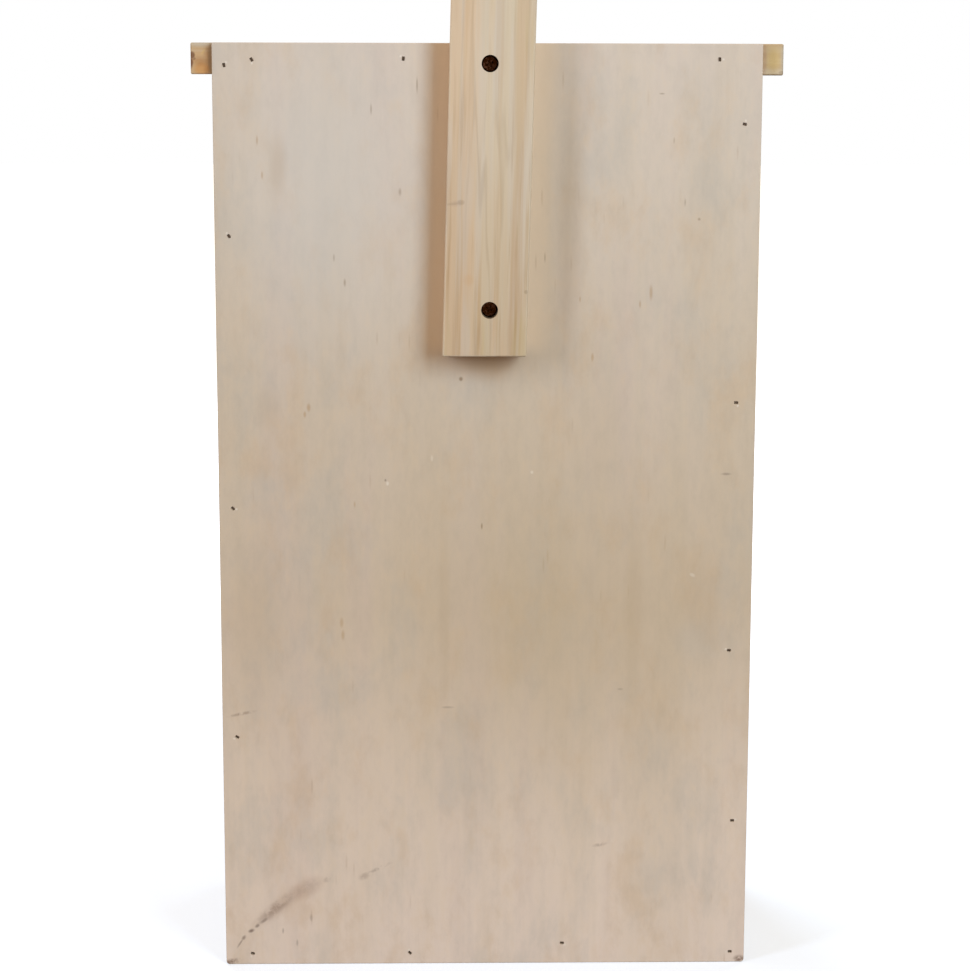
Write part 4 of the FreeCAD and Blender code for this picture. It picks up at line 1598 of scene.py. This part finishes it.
@dataclass
class HangingBatten:
    """The batten on the back."""

    nodes: dict[str, bpy.types.Object]
    ease: float = 0.9 * MM
    rear: float = 98 * MM
    marks: tuple[Mark, ...] = marks_of({
        Stain.AMBER_AND_SHADE: ((10.5, 398, 4, 4.5, 0.16),),
        Stain.SMEAR: ((17.5, 439.4, 6, 2.4, 0.32, -0.1),),
        Stain.SCRATCH_AND_SHADOW: (
            (19, 439.2, 5.4, 0.9, 0.14, -0.1), (14.8, 440, 2.6, 1.9, 0.22), (-20.6, 391.5, 1.4, 1.5, 0.3)),
        # Painted shade in the counterbores of the two screws and of the hole higher up, with some scorch
        # from drilling
        Stain.SCORCH_AND_SHADE: (
            *((SCREW_SIDE, height, 4.7, 4.7, 0.9) for height in SCREW_HEIGHTS),
            (-3.57, 581.96, 3.35, 3.35, 0.6)),
    })
    bands: tuple[Band, ...] = (
        Band(100, 7, 0.46, 0.5, srgb(219, 188, 154)), Band(125, 8, 0.48, 0.56, srgb(214, 202, 187)),
        Band(165, 5, 0.48, 0.56, srgb(195, 160, 117)), Band(95, 12, 0.52, 0.45, srgb(205, 187, 143)),
        Band(210, 5, 0.5, 0.46, srgb(213, 201, 186)), Band(280, 11, 0.52, 0.38, srgb(172, 137, 96)))

    def build(self) -> None:
        """Eases the batten's edges and dresses it."""
        # The batten's pale eased edges are partly painted highlight, where light catches its bevels
        finish = BattenPine(
            "batten_pine", self.marks, self.rear, Grain.Z, lean=(-BATTEN_LEAN, 0.0), wander=2.4 * MM,
            early=srgb(217, 198, 170), late=srgb(150, 122, 90), blush=srgb(220, 184, 148),
            edge_wear_and_highlight=srgb(220, 206, 182), contrast=0.2, fuzz=0.08, bands=self.bands)
        mesh = mesh_of("batten", eased_copy(self.nodes["hanging_batten"], self.ease))
        settle("batten", mesh, finish.material(), "softwood", "hanging_batten")


@dataclass
class Fasteners:
    """The brads of the case and the panel, and the two screws of the batten."""

    nodes: dict[str, bpy.types.Object]
    setter: SetFasteners
    driller: DrillTunnels
    case_middle: tuple[float, float, float] = (0.0, 0.0, 260 * MM)
    brad_length: float = 30 * MM
    brad_width: float = 2.2 * MM
    brad_depth: float = 1.4 * MM
    brad_point: float = 0.35
    brad_round: float = 0.5 * MM
    brad_rim: float = 0.15 * MM
    head_diameter: float = 8.4 * MM
    head_height: float = 2.6 * MM
    head_edge: float = 0.3 * MM
    neck: float = 2 * MM
    throat: float = 1.5 * MM
    plain_shank: float = 6 * MM
    thread_core: float = 1.35 * MM
    thread_height: float = 0.62 * MM
    thread_pitch: float = 2.4 * MM
    rings_a_turn: int = 6
    tip_length: float = 5 * MM
    tip_share: float = 0.15
    screw_length: float = 45 * MM
    screw_sides: int = 20
    screw_seat: float = 87 * MM
    screw_turns: tuple[float, float] = (0.4, 1.1)
    recess_arm: float = 2.3 * MM
    recess_half: float = 0.55 * MM
    recess_depth: float = 1.7 * MM
    recess_proud: float = 1 * MM
    recess_taper: float = 0.55

    def islands(self, node: str) -> list[tuple[Vector, Matrix]]:
        """Where each brad of a node is: the middle of its outer end and its axes.

        Args:
            node: The node that holds a group of brads.

        Returns:
            One pair for each brad.
        """
        shape = bmesh.new()
        shape.from_mesh(self.nodes[node].data)
        bmesh.ops.remove_doubles(shape, verts=shape.verts, dist=TINY)
        seen: set[bmesh.types.BMVert] = set()
        found = []
        for start in shape.verts:
            if start in seen:
                continue
            seen.add(start)
            # The list grows while it is walked, in the mesh's own order, which is the same in each run.
            group = [start]
            for vertex in group:
                near = [edge.other_vert(vertex) for edge in vertex.link_edges]
                fresh = [other for other in near if other not in seen]
                seen.update(fresh)
                group += fresh
            found.append(self.brad_frame([vertex.co.copy() for vertex in group]))
        shape.free()
        return found

    def brad_frame(self, corners: list[Vector]) -> tuple[Vector, Matrix]:
        """Finds how one brad lies.

        Args:
            corners: Its eight corners.

        Returns:
            The middle of its outer end, and its axes.
        """
        first = corners[0]
        others = sorted(corners[1:], key=lambda corner: (corner - first).length)
        thin, wide = (others[0] - first).normalized(), (others[1] - first).normalized()
        long = max((corner - first for corner in corners), key=lambda step: abs(step.dot(thin.cross(wide))))
        middle = sum(corners, Vector()) / len(corners)
        outward = thin.cross(wide)
        if outward.dot(middle - Vector(self.case_middle)) < 0:
            outward.negate()
        head = middle + outward * (abs(long.dot(outward)) / 2)
        return head, Matrix((wide, outward.cross(wide), outward)).transposed()

    def brad_mesh(self) -> bpy.types.Mesh:
        """Makes a brad with a struck head and a chisel point.

        Returns:
            Its mesh, with the head at the origin.
        """
        shape = bmesh.new()
        bmesh.ops.create_cube(shape, size=1.0)
        for vertex in shape.verts:
            point = vertex.co.z < 0
            vertex.co.x *= self.brad_width
            vertex.co.y *= self.brad_depth * (self.brad_point if point else 1.0)
            vertex.co.z = -self.brad_length if point else 0.0
        sides = [edge for edge in shape.edges if edge.verts[0].co.z != edge.verts[1].co.z]
        bmesh.ops.bevel(shape, geom=sides, offset=self.brad_round, segments=3, affect="EDGES")
        rim = [edge for edge in shape.edges if all(vertex.co.z == 0 for vertex in edge.verts)]
        bmesh.ops.bevel(shape, geom=rim, offset=self.brad_rim, segments=2, affect="EDGES")
        return mesh_of("brad", shape)

    def screw_mesh(self) -> bpy.types.Mesh:
        """Makes a screw with a thread.

        Returns:
            Its mesh along +Y, with the bearing face of the head at the origin.
        """
        head, top = self.head_diameter / 2, self.head_height
        rows = [(0.0, top), (head * 0.9, top), (head, top * 0.8), (head, self.head_edge),
                (head * 0.95, 0.0), (self.neck, 0.0), (self.throat, -self.plain_shank)]
        shape = bmesh.new()
        rings = rings_of(shape, rows, self.screw_sides)
        steps = int((self.screw_length - self.plain_shank) / self.thread_pitch * self.rings_a_turn)
        for step in range(1, steps + 1):
            depth = -self.plain_shank - self.thread_pitch * step / self.rings_a_turn
            rings.append(ring_of(shape, depth, self.thread_reaches(depth), self.screw_sides))
        rings += rings_of(shape, [(0.0, -self.screw_length)], self.screw_sides)
        join_rings(shape, rings, self.screw_sides)
        return mesh_of("screw", shape)

    def thread_reaches(self, depth: float) -> list[float]:
        """Finds how far the thread stands out all round.

        Args:
            depth: The place along the screw.

        Returns:
            The distance of each side from the axis.
        """
        taper = min(1.0, (self.screw_length + depth) / self.tip_length + self.tip_share)
        turns = [index / self.screw_sides for index in range(self.screw_sides)]
        phases = [(depth / self.thread_pitch + turn) % 1.0 for turn in turns]
        crests = [max(0.0, 1 - abs(phase - 0.5) * 4) for phase in phases]
        return [(self.thread_core + self.thread_height * crest) * taper for crest in crests]

    def recess_mesh(self) -> bpy.types.Mesh:
        """Makes the cross that a driver fits.

        Returns:
            A cutter that narrows downwards.
        """
        arm, half, taper = self.recess_arm, self.recess_half, self.recess_taper
        quarter = [(arm, -half), (arm, half), (half, half)]
        outline = []
        for _ in range(4):
            outline += quarter
            quarter = [(-z, x) for x, z in quarter]
        shape = bmesh.new()
        top = [shape.verts.new((x, self.recess_proud, z)) for x, z in outline]
        low = [shape.verts.new((x * taper, -self.recess_depth, z * taper)) for x, z in outline]
        join_ends(shape, top, low)
        bmesh.ops.recalc_face_normals(shape, faces=shape.faces)
        return mesh_of("recess", shape)

    def build(self) -> None:
        """Sets the brads and the screws."""
        steel = Steel("brad_wire", srgb(82, 68, 56), srgb(84, 58, 40)).material()
        brad = tool_of("brad_tool", self.brad_mesh())
        for node in ("panel_brads", "roof_brads", "side_brads", "floor_brads"):
            frames = self.islands(node)
            turns = [Vector(axes.to_euler()) for _, axes in frames]
            points = points_of(node, [head for head, _ in frames], "turn", turns)
            mesh = grow(node, points, [(self.setter, {"Fastener": brad, "Material": steel})])
            settle(f"{node}_set", mesh, steel, "steel", node)
        put_away(brad)
        # The screws' near-black tone is partly painted shade deep in their counterbores
        self.build_screws(Steel("dark_screw", srgb(40, 16, 2), srgb(110, 55, 12)).material())

    def build_screws(self, steel: bpy.types.Material) -> None:
        """Cuts the recess in a screw and sets it twice, turned differently.

        Args:
            steel: The screws' material.
        """
        head_top = [Vector((0.0, self.head_height, 0.0))]
        spot = tool_of("recess_spot", points_of("recess_spot", head_top, "size", [Vector((1.0, 1.0, 1.0))]))
        cross = tool_of("recess_tool", self.recess_mesh())
        none = tool_of("no_checks", bpy.data.meshes.new("no_checks"))
        cut = grow("screw_cut", self.screw_mesh(), [
            (self.driller, {"Holes": spot, "Drill": cross, "Checks": none, "Material": steel})])
        screw = tool_of("screw_tool", cut)
        places = [Vector((SCREW_SIDE * MM, self.screw_seat, height * MM)) for height in SCREW_HEIGHTS]
        turns = [Vector((0.0, turn, 0.0)) for turn in self.screw_turns]
        points = points_of("screw_points", places, "turn", turns)
        mesh = grow("screws", points, [(self.setter, {"Fastener": screw, "Material": steel})])
        settle("screws", mesh, steel, "steel", "batten_screws")
        put_away(spot, cross, none, screw)


@dataclass(frozen=True)
class Tunnel:
    """A nest tunnel: its mouth, diameter and depth."""

    mouth: Vector
    diameter: float
    depth: float


class TunnelDrill:
    """Drills nest tunnels with a countersunk mouth, by shares of each tunnel's radius and depth."""

    sides = 20
    sink_radius = 1.16
    sink_depth = 0.007
    proud = 0.02
    point = 0.01

    def __init__(self) -> None:
        """Makes the tree and the drill, one metre long and one metre in radius."""
        self.form = DrillTunnels()
        rows = [(0.0, -self.proud), (self.sink_radius, -self.proud), (self.sink_radius, 0.0),
                (1.0, self.sink_depth), (1.0, 1.0), (0.0, 1.0 + self.point)]
        shape = bmesh.new()
        join_rings(shape, rings_of(shape, rows, self.sides), self.sides)
        self.drill = tool_of("tunnel_drill", mesh_of("tunnel_drill", shape))

    def points(self, name: str, tunnels: Iterable[Tunnel]) -> bpy.types.Object:
        """Makes tunnels the points that the tree reads.

        Args:
            name: The drilled piece's name.
            tunnels: Its tunnels.

        Returns:
            An object of loose points.
        """
        holes = list(tunnels)
        mouths = [hole.mouth for hole in holes]
        sizes = [Vector((hole.diameter / 2, hole.depth, hole.diameter / 2)) for hole in holes]
        return tool_of(f"{name}_holes", points_of(f"{name}_holes", mouths, "size", sizes))


@dataclass
class DrilledBlocks:
    """The drilled hardwood blocks."""

    nodes: dict[str, bpy.types.Object]
    drill: TunnelDrill
    ease: float = 0.9 * MM
    margin: float = 15 * MM
    end_wall: float = 18 * MM
    nest_count: int = 3
    nest_grid: tuple[int, int] = (7, 3)
    nest_sizes: tuple[float, ...] = (4.0, 5.5, 3.5, 5.0, 8.0, 4.5, 5.5, 3.0, 5.0)
    attic_grid: tuple[int, int] = (5, 2)
    attic_sizes: tuple[float, ...] = (4.0, 5.5, 5.0, 3.5, 4.5)
    tones: tuple[tuple[Colour, Colour], ...] = (
        (srgb(208, 172, 136), srgb(184, 142, 104)),
        (srgb(214, 184, 148), srgb(192, 154, 114)),
        (srgb(200, 160, 122), srgb(174, 128, 90)))

    def tunnels(self, node: str, rows: int, columns: int, sizes: Sequence[float],
                first: int) -> list[Tunnel]:
        """The staggered tunnels of one block.

        Args:
            node: The block's node.
            rows: The number of rows.
            columns: The number of tunnels in a full row.
            sizes: The diameters in millimetres, which follow each other in turn.
            first: Where in that list the block starts.

        Returns:
            The block's tunnels.
        """
        low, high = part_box(node)
        found = []
        for row in range(rows):
            for column in range(columns - row % 2):
                across = (column + row % 2 / 2) / (columns - 1)
                x = low.x + self.margin + across * (high.x - low.x - 2 * self.margin)
                z = low.z + self.margin + row / (rows - 1) * (high.z - low.z - 2 * self.margin)
                diameter = sizes[(first + len(found)) % len(sizes)] * MM
                found.append(Tunnel(Vector((x, low.y, z)), diameter, high.y - low.y - self.end_wall))
        return found

    def block_mesh(self, node: str) -> bpy.types.Mesh:
        """Makes a plain block with eased edges.

        Args:
            node: The block's node.

        Returns:
            Its mesh.
        """
        low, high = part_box(node)
        shape = bmesh.new()
        bmesh.ops.create_cube(shape, size=1.0)
        for vertex in shape.verts:
            vertex.co = [low[axis] if vertex.co[axis] < 0 else high[axis] for axis in range(3)]
        bmesh.ops.bevel(shape, geom=shape.edges[:], offset=self.ease, segments=3, profile=0.5,
                        affect="EDGES")
        return mesh_of(node, shape)

    def build(self) -> None:
        """Drills and dresses each block."""
        plan = {f"nest_block_{index + 1:02d}": (*self.nest_grid, self.nest_sizes, 2 * index)
                for index in range(self.nest_count)}
        plan["left_attic_block"] = (*self.attic_grid, self.attic_sizes, 0)
        plan["right_attic_block"] = (*self.attic_grid, self.attic_sizes, 2)
        none = tool_of("no_checks", bpy.data.meshes.new("no_checks"))
        for index, (node, (rows, columns, sizes, first)) in enumerate(plan.items()):
            tone, deep = self.tones[index % len(self.tones)]
            finish = Beech(f"{node}_beech", tone, deep, 1.7 * index + 0.4).material()
            holes = self.drill.points(node, self.tunnels(node, rows, columns, sizes, first))
            values = {"Holes": holes, "Drill": self.drill.drill, "Checks": none, "Material": finish}
            mesh = grow(node, self.block_mesh(node), [(self.drill.form, values)])
            settle(f"{node}_drilled", mesh, finish, "hardwood", node)
            put_away(holes)
        put_away(none)


class Bark(Enum):
    """The kinds of branch in the bottom tier."""

    BIRCH = LogWood(
        "birch_log", srgb(206, 198, 186), srgb(96, 82, 72), srgb(222, 200, 164), srgb(196, 158, 116))
    HAZEL = LogWood(
        "hazel_log", srgb(132, 100, 74), srgb(84, 60, 44), srgb(214, 184, 140), srgb(186, 138, 92))
    OAK = LogWood(
        "oak_log", srgb(116, 100, 84), srgb(58, 46, 38), srgb(204, 172, 126), srgb(160, 112, 70))


@dataclass
class LogStack:
    """The drilled log sections of the bottom tier."""

    nodes: dict[str, bpy.types.Object]
    drill: TunnelDrill
    sizes: tuple[float, ...] = (5.0, 4.0, 5.5, 3.5, 4.5)
    area: float = 520 * MM * MM
    margin: float = 11 * MM
    end_wall: float = 18 * MM
    golden_angle: float = 137.508
    rim: float = 0.8 * MM
    unevenness: float = 0.07
    bark_depth: float = 1.6 * MM
    seed_step: float = 3.7
    first_draw: int = 40
    thick: float = 60 * MM
    check_depth: float = 22 * MM
    check_proud: float = 2 * MM
    check_widths: tuple[float, float] = (0.012, 0.022)
    check_starts: tuple[float, float] = (0.04, 0.12)
    check_end: float = 0.56
    check_root: float = 0.2

    def tunnels(self, centre: Vector, diameter: float, depth: float, first: int) -> list[Tunnel]:
        """Lays out the tunnels of one log, in a spiral from its middle.

        Args:
            centre: The middle of its sawn end.
            diameter: Its diameter.
            depth: Its length.
            first: The log's number, which turns the spiral and starts the list of sizes.

        Returns:
            The log's tunnels.
        """
        reach = max(diameter / 2 - self.margin, 0.0)
        count = max(1, round(math.pi * reach ** 2 / self.area))
        found = []
        for index in range(count):
            radius = reach * math.sqrt((index + 0.5) / count)
            angle = math.radians(index * self.golden_angle + first)
            mouth = centre + Vector((radius * math.cos(angle), 0.0, radius * math.sin(angle)))
            size = self.sizes[(first + index) % len(self.sizes)] * MM
            found.append(Tunnel(mouth, size, depth - self.end_wall))
        return found

    def checks(self, name: str, centre: Vector, diameter: float, seed: random.Random) -> bpy.types.Object:
        """Makes thin wedges that open from near the pith to the bark.

        Args:
            name: The log's name.
            centre: The middle of its sawn end.
            diameter: Its diameter.
            seed: The draws for the wedges' turns and widths.

        Returns:
            The wedges as an object that the drill's tree reads.
        """
        shape = bmesh.new()
        levels = ((-self.check_proud, 1.0), (self.check_depth, self.check_root))
        for _ in range(2 if diameter > self.thick else 1):
            turn, width = seed.uniform(0, math.tau), diameter * seed.uniform(*self.check_widths)
            along = Vector((math.cos(turn), 0.0, math.sin(turn)))
            aside = Vector((-math.sin(turn), 0.0, math.cos(turn))) * (width / 2)
            start = along * (diameter * seed.uniform(*self.check_starts))
            end = along * (diameter * self.check_end)
            ends = []
            for depth, share in levels:
                middle = centre + Vector((0.0, depth, 0.0))
                steps = (start, end + aside * share, end - aside * share)
                ends.append([shape.verts.new(middle + step) for step in steps])
            join_ends(shape, *ends)
        bmesh.ops.recalc_face_normals(shape, faces=shape.faces)
        return tool_of(f"{name}_checks", mesh_of(f"{name}_checks", shape))

    def build(self) -> None:
        """Turns, drills, roughens and dresses each log."""
        body, relief = LogBody("log_body"), BarkRelief()
        finishes = [kind.value.material() for kind in Bark]
        names = sorted(node for node in self.nodes if node.startswith("log_section"))
        for index, node in enumerate(names):
            low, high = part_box(node)
            draws = random.Random(self.first_draw + index)
            centre = Vector(((low.x + high.x) / 2, low.y, (low.z + high.z) / 2))
            diameter, length = high.x - low.x, high.y - low.y
            finish = finishes[(index * 2) % len(finishes)]
            holes = self.drill.points(node, self.tunnels(centre, diameter, length, index))
            checks = self.checks(node, centre, diameter, draws)
            shared = {"Centre": centre, "Diameter": diameter, "Material": finish}
            tools = {"Holes": holes, "Drill": self.drill.drill, "Checks": checks, "Material": finish}
            skin = {"Seed": index * self.seed_step, "Unevenness": self.unevenness,
                    "Bark Depth": self.bark_depth}
            mesh = grow(node, bpy.data.meshes.new(node), [
                (body, {**shared, "Length": length, "Rim": self.rim}),
                (self.drill.form, tools),
                (relief, {**shared, **skin})])
            settle(node.replace("section", "drilled"), mesh, finish, "log_wood", node)
            put_away(holes, checks)


@dataclass
class CaneBundle:
    """The bamboo canes between the dividers."""

    nodes: dict[str, bpy.types.Object]
    bore_min: float = 5 * MM
    bore_max: float = 10.5 * MM
    knot: float = 12 * MM
    golden_step: float = 0.618034
    rim: float = 0.6 * MM
    seed_step: float = 2.3
    first_seed: float = 0.7
    crease: float = math.radians(50)

    def build(self) -> None:
        """Turns and dresses each cane."""
        form = CaneForm("bamboo_cane")
        finish = Bamboo("bamboo").material()
        names = sorted(node for node in self.nodes if node.startswith("bamboo_cane"))
        for index, node in enumerate(names):
            low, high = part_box(node)
            centre = Vector(((low.x + high.x) / 2, low.y, (low.z + high.z) / 2))
            length = high.y - low.y
            share = (2 * index + 1) * self.golden_step % 1.0
            bore = self.bore_min + (self.bore_max - self.bore_min) * share
            mesh = grow(node, bpy.data.meshes.new(node), [(form, {
                "Centre": centre, "Diameter": high.x - low.x, "Length": length, "Rim": self.rim,
                "Seed": index * self.seed_step + self.first_seed, "Bore": bore,
                "Bore Depth": length - self.knot, "Material": finish})])
            mesh.set_sharp_from_angle(angle=self.crease)
            settle(node.replace("bamboo_cane", "cane"), mesh, finish, "bamboo", node)


@dataclass(frozen=True)
class Lamp:
    """A soft lamp that points at the object.

    Its bearing goes round from the back towards +X, and its rise up from level, both in degrees. Its level
    is the share of plain light that it gives a surface that faces it.
    """

    name: str
    bearing: float
    rise: float
    distance: float
    width: float
    height: float
    level: float
    colour: tuple[float, float, float]

    def step(self) -> Vector:
        """Works out where the lamp hangs.

        Returns:
            The step from the object to the lamp.
        """
        bearing, rise = math.radians(self.bearing), math.radians(self.rise)
        flat = math.cos(rise)
        return self.distance * Vector((math.sin(bearing) * flat, math.cos(bearing) * flat, math.sin(rise)))

    def power(self) -> float:
        """The power that gives the level."""
        return self.level * math.pi ** 2 * self.distance ** 2


@dataclass
class Studio:
    """The floor, the light and the camera of the photograph."""

    ambient: Colour = (0.52, 0.36, 0.155, 1.0)
    lens: float = 89.072
    sensor: float = 36.0
    camera_place: tuple[float, float, float] = (27.72 * MM, 1403.02 * MM, 509.63 * MM)
    camera_turn: tuple[float, float, float] = (80.22, -0.139, 178.871)
    floor_half: float = 12.0
    middle: tuple[float, float, float] = (0.0, 0.0, 360 * MM)
    lamps: tuple[Lamp, ...] = (
        Lamp("key", -31.0, 19.0, 2.0, 0.7, 1.25, 0.69, (0.7, 0.88, 1.05)),
        Lamp("fill", 51.0, 19.0, 2.0, 0.4, 1.1, 0.42, (0.76, 0.86, 1.05)),
        Lamp("nest_key", 158.0, 25.0, 2.4, 1.0, 1.0, 0.66, (0.76, 0.92, 1.1)),
        Lamp("nest_fill", -142.0, 18.0, 2.4, 1.0, 1.0, 0.25, (0.76, 0.92, 1.1)))

    def build(self) -> None:
        """Sets up the stage."""
        scene = bpy.context.scene
        scene.view_settings.view_transform = "Standard"
        self.build_floor()
        self.build_world(scene)
        for lamp in self.lamps:
            self.build_lamp(lamp)
        self.build_camera(scene)

    def build_floor(self) -> None:
        """Lays the floor."""
        shape = bmesh.new()
        bmesh.ops.create_grid(shape, x_segments=1, y_segments=1, size=self.floor_half)
        mesh = mesh_of("floor", shape)
        mesh.materials.append(PaleFloor("pale_floor").material())
        floor = bpy.data.objects.new("floor", mesh)
        bpy.context.scene.collection.objects.link(floor)

    def build_world(self, scene: bpy.types.Scene) -> None:
        """Gives soft light from all round, and white behind the object.

        Args:
            scene: The scene that gets the world.
        """
        world = bpy.data.worlds.new("studio")
        scene.world = world
        world.use_nodes = True
        world.node_tree.nodes.clear()
        bench = Bench(world.node_tree)
        colour = bench.mix(shown_ray(bench), self.ambient, (1.0, 1.0, 1.0, 1.0))
        back = bench.out("ShaderNodeBackground", None, {"Color": colour, "Strength": 1.0})
        bench.node("ShaderNodeOutputWorld", None, {"Surface": back})

    def build_lamp(self, lamp: Lamp) -> None:
        """Hangs one lamp.

        Args:
            lamp: The lamp.
        """
        light = bpy.data.lights.new(lamp.name, "AREA")
        light.shape = "RECTANGLE"
        light.size = lamp.width
        light.size_y = lamp.height
        light.energy = lamp.power()
        light.color = lamp.colour
        holder = bpy.data.objects.new(lamp.name, light)
        step = lamp.step()
        turn = (-step).to_track_quat("-Z", "Y").to_matrix().to_4x4()
        holder.matrix_world = Matrix.Translation(Vector(self.middle) + step) @ turn
        bpy.context.scene.collection.objects.link(holder)

    def build_camera(self, scene: bpy.types.Scene) -> None:
        """Sets the camera where the photograph was taken from.

        Args:
            scene: The scene that gets the camera.
        """
        camera = bpy.data.cameras.new("camera")
        camera.sensor_fit = "HORIZONTAL"
        camera.sensor_width = self.sensor
        camera.lens = self.lens
        holder = bpy.data.objects.new("camera", camera)
        holder.location = self.camera_place
        holder.rotation_euler = [math.radians(turn) for turn in self.camera_turn]
        bpy.context.scene.collection.objects.link(holder)
        scene.camera = holder


def main() -> None:
    """Builds every piece on the frame, then the studio."""
    logging.basicConfig(level=logging.INFO, format="%(name)s: %(message)s")
    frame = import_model()
    nodes = frame["nodes"]
    drill = TunnelDrill()
    fasteners = Fasteners(nodes, SetFasteners(), drill.form)
    BackPanel(nodes, [head for head, _ in fasteners.islands("panel_brads")]).build()
    CaseBoards(nodes).build()
    HangingBatten(nodes).build()
    fasteners.build()
    DrilledBlocks(nodes, drill).build()
    LogStack(nodes, drill).build()
    CaneBundle(nodes).build()
    put_away(drill.drill)
    Studio().build()


if __name__ == "__main__":
    main()
